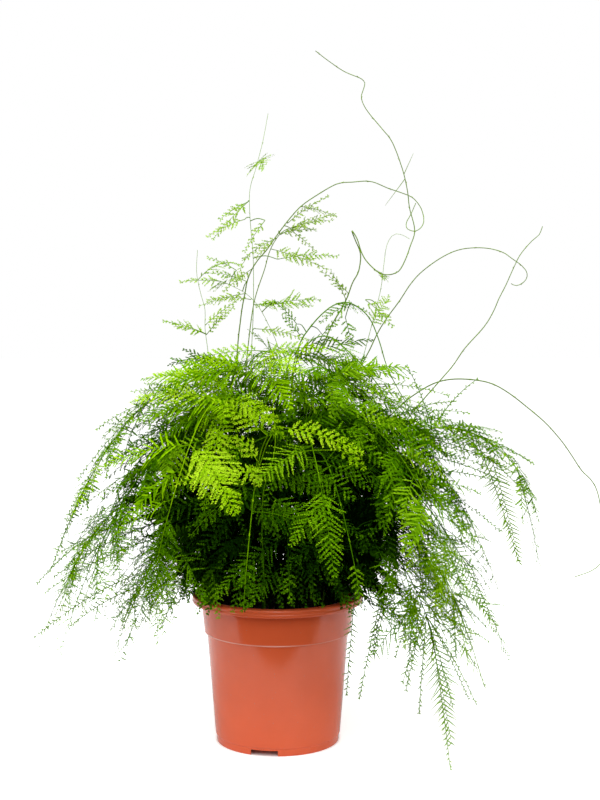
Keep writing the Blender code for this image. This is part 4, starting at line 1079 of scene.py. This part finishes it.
def lowest_fine(points, hang_height):
    """How low fine foliage may hang: on the soil, over the rim and beside the pot."""
    x, y = points[:, 0], points[:, 1]
    away = np.hypot(x, y)
    low = np.where(away < BAND_TOP_RADIUS - 6 * MM, SOIL_TOP + 4 * MM, POT_HEIGHT + 1.5 * MM)
    before = (np.abs(x) < RIM_RADIUS + 6 * MM) & (y < 0.0) & (hang_height > FLOOR_GAP)
    outside = np.where(before, POT_HEIGHT - 6 * MM, hang_height)
    return np.where(away > RIM_RADIUS + 4 * MM, outside, low)


def may_grow(points, hang_height):
    """Whether a fine frond at these points is high enough and inside the solids' box."""
    x, y, z = points.T
    near = np.abs(x - 5 * MM) < 85 * MM
    if np.any(near & (y < -78 * MM) & (z < 238 * MM)) or np.any(near & (y < -104 * MM)
                                                                & (z < 330 * MM)):
        return False
    return bool(np.all(points[:, 2] >= lowest_fine(points, hang_height))) and inside_box(points)


def low_frond(stem, draw, kind):
    """A dark frond low inside the bush, or one that hangs over the soil to the rim."""
    core = kind == "core"
    place = draw.uniform(0.02, 0.7 if core else 0.25) * (len(stem.route) - 1)
    root = stem.route[max(1, int(place))]
    turn = math.atan2(root[1], root[0]) + draw.normal(0.0, 0.9 if core else 0.5)
    rise = draw.uniform(-0.5, 1.1) if core else draw.uniform(-0.2, 0.6)
    way = unit(np.array([math.cos(turn), math.sin(turn), rise]))
    outward = np.array([math.cos(turn), math.sin(turn), 0.0])
    up = unit(np.array([0.0, 0.0, 0.7]) + outward * draw.uniform(0.1, 1.2)
              + np.array([-outward[1], outward[0], 0.0]) * draw.normal(0.0, 0.6))
    length = draw.uniform(52, 88) * MM if core else draw.uniform(36, 64) * MM
    droop = draw.uniform(0.4, 1.5) if core else draw.uniform(1.2, 2.6)
    return Frond(root, way, up, length, length * draw.uniform(0.26, 0.36), droop)


def bush_share(points):
    """How far out the points are: 1 is the bush's outside."""
    away = points - BUSH_CENTRE
    waist = 1.0 - 0.42 * np.clip((240 * MM - points[..., 2]) / (100 * MM), 0.0, 1.0)
    across = np.hypot(away[..., 0] / BUSH_RADII[0], away[..., 1] / BUSH_RADII[1]) / waist
    return np.hypot(across, np.maximum(0.0, away[..., 2]) / BUSH_RADII[2])


# Turns of extra fronds for each stem: kind, turns, room in mm
EXTRA = (("skirt", 7, 1.5), ("core", 19, 2.5), ("filler", 15, 3.0), ("outer", 11, 3.0))


def one_extra(stem, kind, hand, draw):
    """A trial frond of the kind on the stem."""
    if kind in ("skirt", "core"):
        return low_frond(stem, draw, kind)
    if kind == "outer":
        frond = side_frond(stem, draw.uniform(0.45, 1.0), hand, draw, draw.uniform(0.45, 0.8))
        return frond
    return side_frond(stem, draw.uniform(0.22, 0.99), hand, draw, draw.uniform(0.6, 1.05))


def wants(stem, kind):
    """Whether the stem takes more fronds of the kind."""
    if stem.wanted == 0 or stem.name in BARE_TIPS or stem.name.startswith("arching"):
        return False
    if kind in ("skirt", "core"):
        return stem.name not in TRACED
    return kind == "filler" or is_outer(stem)


def is_outer(stem):
    """Whether the stem ends at the left or the right of the bush."""
    return stem.route[-1][0] > 70 * MM or stem.route[-1][0] < -95 * MM


def extra_fronds(stems):
    """More fronds on the same stems, let closer together than the solids' ones."""
    draw = np.random.default_rng(41)
    room = Room()
    for owner, stem in enumerate(stems, start=1):
        for frond in stem.fronds + ([stem.tip] if stem.tip else []):
            room.take(spread_points(frond), owner, 3.0 * MM)
    more = {stem.name: [] for stem in stems}
    for kind, turns, gap in EXTRA:
        for turn in range(turns):
            for owner, stem in enumerate(stems, start=1):
                if not wants(stem, kind):
                    continue
                best = None
                for attempt in range(6):
                    frond = one_extra(stem, kind, 1 if (turn + attempt) % 2 else -1, draw)
                    points = spread_points(frond)
                    hang = FLOOR_GAP if stem.name in FREE_HANGING else HANG_HEIGHT - 12 * MM
                    if not may_grow(points, hang):
                        continue
                    if kind == "core" and bush_share(points).max() > 0.92:
                        continue
                    crowd = sum(room.clashes(points, owner)) / len(points)
                    if best is None or crowd < best[0]:
                        best = (crowd, frond, points)
                if best is not None:
                    more[stem.name].append((best[1], kind))
                    room.take(best[2], owner, gap * MM)
    return more


def traced_frond(root, tip, width, droop, up):
    """A frond from its root to a traced tip."""
    chord = np.array(tip, float) * MM - np.array(root, float) * MM
    length = float(np.linalg.norm(chord))
    along = unit(chord / length + np.array([0.0, 0.0, 0.5 * droop]))
    return Frond(np.array(root, float) * MM, along, np.array(up, float), length * 1.02,
                 width * MM, droop)


def nearest_stem(stems, point, names):
    """The stem out of the named ones that passes nearest to a point, and that place on it."""
    best = None
    for stem in stems:
        if names(stem):
            away = np.linalg.norm(stem.route - point, axis=1)
            k = int(np.argmin(away))
            if best is None or away[k] < best[0]:
                best = (away[k], stem, stem.route[k])
    return best


def add_traced(stems, more, twigs):
    """The fronds traced on the photo, each joined to the nearest stem by a thin twig."""
    groups = (
        (WISPS, 0.35, (0.0, -0.7, 0.7), "spray",
         lambda stem: stem.name in TRACED or stem.shade == "climber"),
        (FRONT, 0.55, (0.0, -0.9, 0.45), "fine", lambda stem: stem.name.rstrip("_12345678")
         in ("crown_stem", "upper_stem", "middle_stem", "lower_stem") and stem.shade != "young_foliage"),
        (BEHIND, 0.4, (0.0, -0.9, 0.45), "core", lambda stem: stem.name.rstrip("_12345678")
         in ("crown_stem", "upper_stem", "middle_stem", "lower_stem") and stem.shade != "young_foliage"),
        (YOUNG_FRONT, 0.4, (0.0, -0.85, 0.55), "young",
         lambda stem: stem.shade == "young_foliage"),
    )
    for rows, droop, up, style, names in groups:
        for root, tip, width, *tone in rows:
            frond = traced_frond(root, tip, width, droop, up)
            if style == "fine" and root[2] < LOW_FRONT:
                tone = [tone[0] + 0.10]
            join_frond(stems, more, twigs, frond, style, tone, names)
    for root, tip, width, tone, style in SIDES:
        root, tip = np.array(root, float), np.array(tip, float)
        away, stem, place = nearest_stem(
            stems, (root - 0.5 * (tip - root)) * MM, lambda stem: stem.wanted > 0
            and stem.shade not in ("young_foliage", "climber") and stem.name not in BARE_TIPS
            and not stem.name.startswith("arching"))
        frond = traced_frond(place / MM, tip, width, 0.5, (0.1, -0.8, 0.6))
        more[stem.name].append((frond, style, tone))
        print("side", stem.name, round(frond.length * 1000))


def join_frond(stems, more, twigs, frond, style, tone, names):
    """Adds a traced frond to the nearest stem of the named ones, with a twig if needed."""
    away, stem, place = nearest_stem(stems, frond.root, names)
    more[stem.name].append((frond, style, *tone))
    if away > 0.6 * MM:
        bend = 0.5 * (place + frond.root) + np.array([0.0, 0.0, 0.12 * away])
        twigs[stem.name].append(smooth_route([place, bend, frond.root], 3 * MM))
    print("traced", style, stem.name, round(away * 1000))


LOW_FRONT = 215
YOUNG_FILLER_SHADE = 0.3
BASE_TONE = {"young_foliage": 0.56, "foliage": 0.5, "dark_foliage": 0.5, "pale_foliage": 0.55,
             "climber": 0.5}


def add_scales(cloud, line, radii, draw, pitch):
    """Small pale scale leaves with a swelling at the nodes of a stem."""
    step = float(np.linalg.norm(line[2] - line[1]))
    places = np.arange(max(2, round(pitch / step)), len(line) - 2, max(2, round(pitch / step)))
    if len(places) == 0:
        return
    way = unit(line[places + 1] - line[places])
    turn = draw.uniform(0.0, 2.0 * np.pi, len(places))
    first = unit(np.cross(way, np.array([0.013, -1.0, 0.3])))
    second = np.cross(way, first)
    out = first * np.cos(turn)[:, None] + second * np.sin(turn)[:, None]
    base = line[places] + out * (0.8 * radii[places])[:, None]
    leaf = unit(way + out * 0.45)
    blades(cloud, base, leaf, np.cross(out, leaf), np.full(len(places), 2.6 * MM),
           np.full(len(places), 1.1 * MM), np.full(len(places), 0.9))
    for k in places:
        knot = line[k] + (line[k + 1] - line[k]) * np.array([-0.35, 0.0, 0.35])[:, None]
        tube(cloud, knot, radii[k] * np.array([1.0, 1.35, 1.0]), 6, 0.62, closed=False)


STEM_RADII = {"climber": (0.78, 0.36), "pale_foliage": (0.5, 0.2)}
LOOKS_OF = {"skirt": "filler", "outer": "loose_filler"}


def dress_stem(stem, more, twigs):
    """One stem with its fronds, fine."""
    cloud = Cloud()
    draw = np.random.default_rng(hash_name(stem.name))
    thin = stem.shade == "climber"
    sides = 7 if thin else 5
    line = np.vstack([stem.route[0], even_route(stem.route[1:], (3 if thin else 5) * MM)])
    run = np.concatenate([[0.0], np.cumsum(np.linalg.norm(np.diff(line, axis=0), axis=1))])
    share = run / run[-1]
    first, last = STEM_RADII.get(stem.shade, (1.0, 0.42))
    radii = (first * (1 - share) + last * share) * MM
    tone = 0.32 + 0.25 * share
    # Painted shade on stems deep in the bush and towards the pot, painted light at the bush's outside
    if not thin:
        tone = tone + 0.7 * painted_depth_shading(line) - low_shade(line)
    tube(cloud, line, radii, sides, np.repeat(tone, sides), closed=False)
    add_scales(cloud, line, radii, draw, 24 * MM if thin else 34 * MM)
    for twig in stem.twigs:
        fine = even_route(twig, 3 * MM)
        tube(cloud, fine, np.linspace(0.4, 0.15, len(fine)) * MM, 5, 0.5, closed=False)
    for twig in twigs:
        tube(cloud, twig, np.linspace(0.5, 0.38, len(twig)) * MM, 4,
             np.repeat(0.5 - low_shade(twig), 4), closed=False)
    base = BASE_TONE[stem.shade]
    usual = "loose" if is_outer(stem) else "fine"
    style = {"young_foliage": "young", "pale_foliage": "spray", "climber": "spray"}.get(
        stem.shade, usual)
    if stem.name in FREE_HANGING:
        style = "wisp"
    fronds = list(stem.fronds) + ([stem.tip] if stem.tip is not None else [])
    for frond in fronds:
        level = base + draw.normal(0.0, 0.06)
        # Painted shade: young fronds darker the lower they hang
        if style == "young":
            level -= 0.2 * min(1.0, max(0.0, (300 * MM - frond.points[4][2]) / (60 * MM)))
        feather(cloud, frond, level, draw, style)
    for frond, kind, *tone in more:
        level = base + (tone[0] if tone else draw.normal(0.20 if kind == "skirt" else -0.02, 0.11))
        if style == "young" and not tone:
            level = level - YOUNG_FILLER_SHADE
        if kind == "filler" and is_outer(stem):
            kind = "loose_filler"
        if stem.name in FREE_HANGING and kind != "comb":
            kind = "wisp"
        # Traced fronds inside the bush take less of the painted depth and front shade
        deep = 0.3 if tone and not is_outer(stem) else 1.0
        feather(cloud, frond, level, draw, LOOKS_OF.get(kind, kind), deep)
    mesh = cloud.mesh(stem.name + "_fine")
    return piece(stem.name + "_fine", mesh, stem.name, [MATERIALS[stem.shade]])


def hash_name(name):
    """A number for a name, the same in each run."""
    return sum((k + 1) * ord(c) for k, c in enumerate(name)) + 7


stems = plan_plant()
more = extra_fronds(stems)
twigs = {stem.name: [] for stem in stems}
twigs["upper_stem_6"].append(smooth_route(np.array(YOUNG_STEM[::-1]) * MM, 4 * MM))
add_traced(stems, more, twigs)
total = 0
for stem in stems:
    made = dress_stem(stem, more[stem.name], twigs[stem.name])
    total += sum(len(p.vertices) - 2 for p in made.data.polygons)
print("fronds", sum(len(s.fronds) + (s.tip is not None) for s in stems),
      "more", sum(map(len, more.values())), "triangles", total)


# ---- pot and soil ----
def plastic():
    """Semi-gloss terracotta plastic with faint mottling, dust specks, a fine grain and a painted highlight
    line along the ledge.
    """
    made = bpy.data.materials.new("pot_plastic_look")
    made.use_nodes = True
    nodes = made.node_tree.nodes
    links = made.node_tree.links
    shader = nodes["Principled BSDF"]
    place = nodes.new("ShaderNodeTexCoord")

    def noise(scale, detail):
        made_noise = nodes.new("ShaderNodeTexNoise")
        made_noise.inputs["Scale"].default_value = scale
        made_noise.inputs["Detail"].default_value = detail
        links.new(place.outputs["Object"], made_noise.inputs["Vector"])
        return made_noise.outputs["Fac"]

    cloudy = noise(22.0, 4.0)
    ramp = nodes.new("ShaderNodeValToRGB")
    ramp.color_ramp.elements[0].position = 0.3
    ramp.color_ramp.elements[0].color = (0.66, 0.101, 0.032, 1)
    ramp.color_ramp.elements[1].position = 0.7
    ramp.color_ramp.elements[1].color = (0.72, 0.115, 0.039, 1)
    links.new(cloudy, ramp.inputs["Fac"])
    specks = nodes.new("ShaderNodeMapRange")
    specks.inputs["From Min"].default_value = 0.72
    specks.inputs["From Max"].default_value = 0.80
    specks.inputs["To Max"].default_value = 0.45
    links.new(noise(520.0, 1.0), specks.inputs["Value"])
    dusty = nodes.new("ShaderNodeMix")
    dusty.data_type = "RGBA"
    links.new(specks.outputs[0], dusty.inputs[0])
    links.new(ramp.outputs["Color"], dusty.inputs[6])
    dusty.inputs[7].default_value = (0.42, 0.20, 0.13, 1)
    # Painted highlight: a pale pink line along the ledge's edge, broken into patches
    height = nodes.new("ShaderNodeSeparateXYZ")
    links.new(place.outputs["Object"], height.inputs[0])
    from_edge = nodes.new("ShaderNodeMath")
    from_edge.operation = "SUBTRACT"
    from_edge.inputs[1].default_value = LEDGE_HEIGHT + 0.5 * MM
    links.new(height.outputs["Z"], from_edge.inputs[0])
    off_edge = nodes.new("ShaderNodeMath")
    off_edge.operation = "ABSOLUTE"
    links.new(from_edge.outputs[0], off_edge.inputs[0])
    line = nodes.new("ShaderNodeMapRange")
    line.inputs["From Min"].default_value = 0.9 * MM
    line.inputs["From Max"].default_value = 0.3 * MM
    links.new(off_edge.outputs[0], line.inputs["Value"])
    patchy = nodes.new("ShaderNodeMapRange")
    patchy.inputs["From Min"].default_value = 0.40
    patchy.inputs["From Max"].default_value = 0.62
    patchy.inputs["To Min"].default_value = 0.18
    patchy.inputs["To Max"].default_value = 0.75
    links.new(noise(14.0, 1.0), patchy.inputs["Value"])
    ledge_highlight = nodes.new("ShaderNodeMath")
    ledge_highlight.operation = "MULTIPLY"
    links.new(line.outputs[0], ledge_highlight.inputs[0])
    links.new(patchy.outputs[0], ledge_highlight.inputs[1])
    # Mixes the painted ledge highlight into the colour
    with_ledge_highlight = nodes.new("ShaderNodeMix")
    with_ledge_highlight.data_type = "RGBA"
    links.new(ledge_highlight.outputs[0], with_ledge_highlight.inputs[0])
    links.new(dusty.outputs[2], with_ledge_highlight.inputs[6])
    with_ledge_highlight.inputs[7].default_value = (0.90, 0.66, 0.58, 1)
    links.new(with_ledge_highlight.outputs[2], shader.inputs["Base Color"])
    shader.inputs["Specular IOR Level"].default_value = 0.42
    rough = nodes.new("ShaderNodeMapRange")
    rough.inputs["To Min"].default_value = 0.09
    rough.inputs["To Max"].default_value = 0.18
    links.new(cloudy, rough.inputs["Value"])
    links.new(rough.outputs[0], shader.inputs["Roughness"])
    grain = nodes.new("ShaderNodeBump")
    grain.inputs["Strength"].default_value = 0.18
    grain.inputs["Distance"].default_value = 0.1 * MM
    links.new(noise(900.0, 2.0), grain.inputs["Height"])
    links.new(grain.outputs[0], shader.inputs["Normal"])
    made.diffuse_color = (0.6, 0.09, 0.03, 1)
    return made


def soil_look():
    """Dark crumbly peat."""
    made = bpy.data.materials.new("potting_mix_look")
    made.use_nodes = True
    nodes = made.node_tree.nodes
    links = made.node_tree.links
    shader = nodes["Principled BSDF"]
    place = nodes.new("ShaderNodeTexCoord")
    grain = nodes.new("ShaderNodeTexNoise")
    grain.inputs["Scale"].default_value = 420.0
    grain.inputs["Detail"].default_value = 5.0
    links.new(place.outputs["Object"], grain.inputs["Vector"])
    ramp = nodes.new("ShaderNodeValToRGB")
    ramp.color_ramp.elements[0].position = 0.35
    ramp.color_ramp.elements[0].color = (0.006, 0.004, 0.0025, 1)
    ramp.color_ramp.elements[1].position = 0.75
    ramp.color_ramp.elements[1].color = (0.05, 0.032, 0.02, 1)
    links.new(grain.outputs["Fac"], ramp.inputs["Fac"])
    links.new(ramp.outputs["Color"], shader.inputs["Base Color"])
    shader.inputs["Roughness"].default_value = 0.95
    return made


POT_SEGMENTS = 144
CORNER_STEPS = 4


def pot_section():
    """The pot's section as in the solid: underside, outer wall, rim, inner wall and floor."""
    skirt = POT_HEIGHT - LIP_HEIGHT
    flange = POT_HEIGHT - WALL
    roof = CHANNEL_HEIGHT + WALL
    return [
        (0.0, 0.0), (PANEL_RADIUS, 0.0), (PANEL_RADIUS + 1.0 * MM, CHANNEL_HEIGHT),
        (FOOT_RADIUS - 3.4 * MM, CHANNEL_HEIGHT), (FOOT_RADIUS - 2.2 * MM, 0.0),
        (FOOT_RADIUS, 0.0), (FOOT_RADIUS + 0.5 * MM, FOOT_HEIGHT),
        (BODY_FOOT_RADIUS, FOOT_HEIGHT + 0.7 * MM), (BODY_TOP_RADIUS, LEDGE_HEIGHT - 0.5 * MM),
        (LEDGE_RADIUS + 0.2 * MM, LEDGE_HEIGHT + 0.1 * MM),
        (LEDGE_RADIUS + 0.05 * MM, LEDGE_HEIGHT + 1.3 * MM), (BAND_TOP_RADIUS - 0.4 * MM, skirt - 3.0 * MM),
        (BAND_TOP_RADIUS, flange), (RIM_RADIUS - WALL - 0.2 * MM, flange),
        (RIM_RADIUS - WALL, skirt), (RIM_RADIUS - 0.2 * MM, skirt),
        (RIM_RADIUS + 0.1 * MM, skirt + 2.6 * MM), (RIM_RADIUS - 0.35 * MM, skirt + 3.4 * MM),
        (RIM_RADIUS, POT_HEIGHT - 1.2 * MM), (RIM_RADIUS - 1.0 * MM, POT_HEIGHT),
        (BAND_TOP_RADIUS - 0.4 * MM, POT_HEIGHT),
        (BAND_TOP_RADIUS - WALL - 0.4 * MM, POT_HEIGHT - 1.4 * MM),
        (LEDGE_RADIUS - WALL, LEDGE_HEIGHT + 1.6 * MM),
        (BODY_TOP_RADIUS - WALL, LEDGE_HEIGHT + 0.5 * MM),
        (BODY_FOOT_RADIUS - WALL, roof), (PANEL_RADIUS - 0.5 * MM, roof),
        (PANEL_RADIUS - WALL, WALL), (0.0, WALL),
    ]


def rounded(section, radius):
    """The section with each corner eased into a small arc."""
    made = [np.array(section[0])]
    for a, b, c in zip(section, section[1:], section[2:]):
        a, b, c = np.array(a), np.array(b), np.array(c)
        before = b + unit(a - b) * min(radius, 0.4 * float(np.linalg.norm(a - b)))
        after = b + unit(c - b) * min(radius, 0.4 * float(np.linalg.norm(c - b)))
        for t in np.linspace(0.0, 1.0, CORNER_STEPS):
            made.append((1 - t) ** 2 * before + 2 * (1 - t) * t * b + t ** 2 * after)
    made.append(np.array(section[-1]))
    return made


def lathe(name, section, segments):
    """A closed mesh turned round Z from a section that starts and ends on the axis."""
    work = bmesh.new()
    rings = []
    for radius, height in section:
        if radius == 0.0:
            rings.append([work.verts.new((0.0, 0.0, height))])
        else:
            rings.append([work.verts.new((radius * math.cos(2 * math.pi * k / segments),
                                          radius * math.sin(2 * math.pi * k / segments), height))
                          for k in range(segments)])
    for lower, upper in zip(rings, rings[1:]):
        for k in range(segments):
            corners = [lower[k % len(lower)], lower[(k + 1) % len(lower)],
                       upper[(k + 1) % len(upper)], upper[k % len(upper)]]
            corners = list(dict.fromkeys(corners))
            if len(corners) > 2:
                work.faces.new(corners)
    bmesh.ops.recalc_face_normals(work, faces=work.faces)
    mesh = bpy.data.meshes.new(name)
    work.to_mesh(mesh)
    work.free()
    return mesh


def cutter(name, corners_low, low, high):
    """A prism over a polygon."""
    count = len(corners_low)
    mesh = bpy.data.meshes.new(name)
    mesh.from_pydata([(x, y, z) for z in (low, high) for x, y in corners_low], [],
                     [tuple(range(count - 1, -1, -1)), tuple(range(count, 2 * count))]
                     + [(k, (k + 1) % count, count + (k + 1) % count, count + k)
                        for k in range(count)])
    made = bpy.data.objects.new(name, mesh)
    bpy.context.scene.collection.objects.link(made)
    return made


def fine_pot():
    """The pot with its notches and drain holes cut."""
    mesh = lathe("pot_fine", rounded(pot_section(), 0.7 * MM), POT_SEGMENTS)
    made = bpy.data.objects.new("pot_fine", mesh)
    bpy.context.scene.collection.objects.link(made)
    cutters = []
    for degrees in NOTCH_ANGLES:
        angle = math.radians(degrees)
        out = np.array([math.cos(angle), math.sin(angle)])
        aside = np.array([-out[1], out[0]])
        corners = [out * (FOOT_RADIUS + depth * MM) + aside * 0.5 * NOTCH_WIDTH * hand
                   for depth, hand in ((-6, -1), (5, -1), (5, 1), (-6, 1))]
        cutters.append(cutter("notch", corners, -1.5 * MM, NOTCH_HEIGHT))
    for number in range(DRAIN_COUNT):
        angle = 2 * math.pi * (number + 0.5) / DRAIN_COUNT
        centre = DRAIN_CIRCLE * np.array([math.cos(angle), math.sin(angle)])
        ring = [centre + DRAIN_RADIUS * np.array([math.cos(a), math.sin(a)])
                for a in 2 * math.pi * np.arange(24) / 24]
        cutters.append(cutter("drain", ring, CHANNEL_HEIGHT - 2 * MM, CHANNEL_HEIGHT + WALL + 2 * MM))
    for one in cutters:
        step = made.modifiers.new("cut", "BOOLEAN")
        step.operation = "DIFFERENCE"
        step.object = one
        step.solver = "EXACT"
    bpy.context.view_layer.update()
    graph = bpy.context.evaluated_depsgraph_get()
    cut = bpy.data.meshes.new_from_object(made.evaluated_get(graph))
    for one in cutters:
        bpy.data.objects.remove(one)
    bpy.data.objects.remove(made)
    cut.shade_smooth()
    cut.set_sharp_from_angle(angle=math.radians(38))
    cut.materials.clear()
    return piece("pot_fine", cut, "pot", [plastic()])


def fine_soil():
    """Lumpy potting mix with loose crumbs on it."""
    draw = np.random.default_rng(3)
    edge = BAND_TOP_RADIUS - WALL - 1.6 * MM
    rings = 40
    segments = 120
    cloud = Cloud()
    angle = 2 * np.pi * np.arange(segments) / segments
    radius = edge * np.linspace(0.0, 1.0, rings + 1)[1:]
    x = np.concatenate([[0.0], (radius[:, None] * np.cos(angle)).ravel()])
    y = np.concatenate([[0.0], (radius[:, None] * np.sin(angle)).ravel()])
    wave = np.sin(x * 170 + 1.0) * np.cos(y * 140) + np.sin((x + y) * 260 + 2.0) * 0.6
    z = SOIL_TOP + 0.8 * SOIL_BUMP * wave + draw.normal(0.0, 0.45 * MM, len(x))
    z = np.where(np.hypot(x, y) > edge - 1 * MM, SOIL_TOP - 2.2 * MM, z)
    cloud.add(np.stack([x, y, z], 1), np.zeros((0, 3), int), 0.0)
    k = np.arange(segments)
    cloud.append_faces(np.stack([np.zeros(segments, int), 1 + k, 1 + (k + 1) % segments], 1))
    low = 1 + segments * np.arange(rings - 1)[:, None]
    quads = np.stack([low + k, low + segments + k, low + segments + (k + 1) % segments,
                      low + (k + 1) % segments], -1).reshape(-1, 4)
    cloud.append_faces(quads)
    walls = [(edge, SOIL_TOP - 2.2 * MM), (BODY_TOP_RADIUS - WALL - SEAT_GAP, LEDGE_HEIGHT),
             (BODY_FOOT_RADIUS - WALL - SEAT_GAP, CHANNEL_HEIGHT + WALL + SEAT_GAP)]
    ring_points = [np.stack([r * np.cos(angle), r * np.sin(angle), np.full(segments, h)], 1)
                   for r, h in walls]
    start = cloud.count
    cloud.add(np.concatenate(ring_points), np.zeros((0, 3), int), 0.0)
    for number in range(len(walls) - 1):
        here = start + number * segments
        cloud.append_faces(np.stack([here + k, here + segments + k,
                                     here + segments + (k + 1) % segments,
                                     here + (k + 1) % segments], -1)[:, ::-1])
    last = start + (len(walls) - 1) * segments
    cloud.append_faces((last + k[::-1])[None, :])
    count = 1400
    away = (edge - 4 * MM) * np.sqrt(draw.random(count))
    turn = draw.uniform(0, 2 * np.pi, count)
    centre = np.stack([away * np.cos(turn), away * np.sin(turn), np.full(count, SOIL_TOP + 0.8 * MM)], 1)
    size = draw.uniform(0.6, 2.2, count)[:, None, None] * MM
    shape = np.array([(1, 0, 0), (-1, 0, 0), (0, 1, 0), (0, -1, 0), (0, 0, 0.8), (0, 0, -0.8)])
    lumps = centre[:, None, :] + size * shape * draw.uniform(0.6, 1.3, (count, 6, 1))
    octahedron = np.array([(0, 2, 4), (2, 1, 4), (1, 3, 4), (3, 0, 4), (2, 0, 5), (1, 2, 5),
                           (3, 1, 5), (0, 3, 5)])
    faces = (6 * np.arange(count)[:, None, None] + octahedron).reshape(-1, 3)
    cloud.add(lumps.reshape(-1, 3), faces, 0.0)
    return piece("soil_fine", cloud.mesh("soil_fine"), "soil", [soil_look()])


fine_pot()
fine_soil()


# ---- studio ----
def area_light(name, place, aim, size, power):
    lamp = bpy.data.lights.new(name, "AREA")
    lamp.shape = "RECTANGLE"
    lamp.size, lamp.size_y = size
    lamp.energy = power
    made = bpy.data.objects.new(name, lamp)
    bpy.context.scene.collection.objects.link(made)
    made.location = place
    made.rotation_euler = (Vector(aim) - Vector(place)).to_track_quat("-Z", "Y").to_euler()
    return made


def make_floor():
    """A plain white floor, unlit under the pot, that ends in front like a table."""
    mesh = bpy.data.meshes.new("floor")
    mesh.from_pydata([(-6, FLOOR_FRONT, 0), (6, FLOOR_FRONT, 0), (6, 6, 0), (-6, 6, 0)], [],
                     [(0, 1, 2, 3)])
    made = bpy.data.objects.new("floor", mesh)
    bpy.context.scene.collection.objects.link(made)
    look = bpy.data.materials.new("floor_look")
    look.use_nodes = True
    nodes = look.node_tree.nodes
    links = look.node_tree.links
    shader = nodes["Principled BSDF"]
    shader.inputs["Base Color"].default_value = (0.9, 0.9, 0.9, 1)
    shader.inputs["Roughness"].default_value = 0.9
    shader.inputs["Emission Color"].default_value = (1, 1, 1, 1)
    place = nodes.new("ShaderNodeTexCoord")
    away = nodes.new("ShaderNodeVectorMath")
    away.operation = "LENGTH"
    links.new(place.outputs["Object"], away.inputs[0])
    edge = nodes.new("ShaderNodeMapRange")
    edge.inputs["From Min"].default_value = FOOT_RADIUS - 2 * MM
    edge.inputs["From Max"].default_value = FOOT_RADIUS + 3 * MM
    edge.inputs["To Max"].default_value = FLOOR_GLOW
    links.new(away.outputs["Value"], edge.inputs["Value"])
    path = nodes.new("ShaderNodeLightPath")
    seen = nodes.new("ShaderNodeMapRange")
    seen.inputs["To Min"].default_value = 0.12
    links.new(path.outputs["Is Camera Ray"], seen.inputs["Value"])
    glow = nodes.new("ShaderNodeMath")
    glow.operation = "MULTIPLY"
    links.new(edge.outputs[0], glow.inputs[0])
    links.new(seen.outputs[0], glow.inputs[1])
    links.new(glow.outputs[0], shader.inputs["Emission Strength"])
    mesh.materials.append(look)


def make_world():
    """White as seen, and soft light from above; dark below, where only gloss sees it."""
    world = bpy.data.worlds.new("studio")
    bpy.context.scene.world = world
    world.use_nodes = True
    nodes = world.node_tree.nodes
    links = world.node_tree.links
    light = nodes["Background"]
    light.inputs["Color"].default_value = (1, 1, 1, 1)
    seen = nodes.new("ShaderNodeBackground")
    seen.inputs["Color"].default_value = (1, 1, 1, 1)
    place = nodes.new("ShaderNodeTexCoord")
    height = nodes.new("ShaderNodeSeparateXYZ")
    links.new(place.outputs["Generated"], height.inputs[0])
    above = nodes.new("ShaderNodeMapRange")
    above.inputs["From Min"].default_value = -0.05
    above.inputs["From Max"].default_value = 0.05
    above.inputs["To Min"].default_value = 0.02
    above.inputs["To Max"].default_value = SKY_LIGHT
    links.new(height.outputs["Z"], above.inputs["Value"])
    links.new(above.outputs[0], light.inputs["Strength"])
    path = nodes.new("ShaderNodeLightPath")
    either = nodes.new("ShaderNodeMixShader")
    links.new(path.outputs["Is Camera Ray"], either.inputs[0])
    links.new(light.outputs[0], either.inputs[1])
    links.new(seen.outputs[0], either.inputs[2])
    links.new(either.outputs[0], nodes["World Output"].inputs["Surface"])


FLOOR_FRONT = -0.207
FLOOR_GLOW = 0.62
SKY_LIGHT = 0.5
make_floor()
make_world()
area_light("front_box", (0.15, -1.5, 1.25), (0, 0, 0.15), (0.9, 0.9), 9)
area_light("left_box", (-1.3, -0.7, 0.9), (0, 0, 0.25), (0.5, 1.4), 9)
area_light("right_box", (1.3, -0.7, 0.9), (0, 0, 0.25), (0.5, 1.4), 7)
area_light("top_box", (-0.2, -0.4, 1.9), (0, 0, 0.25), (1.2, 1.0), 22)

scene = bpy.context.scene
scene.view_settings.view_transform = "Standard"
camera_data = bpy.data.cameras.new("camera")
camera = bpy.data.objects.new("camera", camera_data)
scene.collection.objects.link(camera)
camera_data.sensor_width = 36.0
camera_data.lens = 70.7
camera_data.clip_start = 0.01
camera_data.clip_end = 60.0
camera.location = (0.0222, -1.543, 0.479)
camera.rotation_euler = (math.radians(90 - 5.12), 0.0, 0.0)
scene.camera = camera
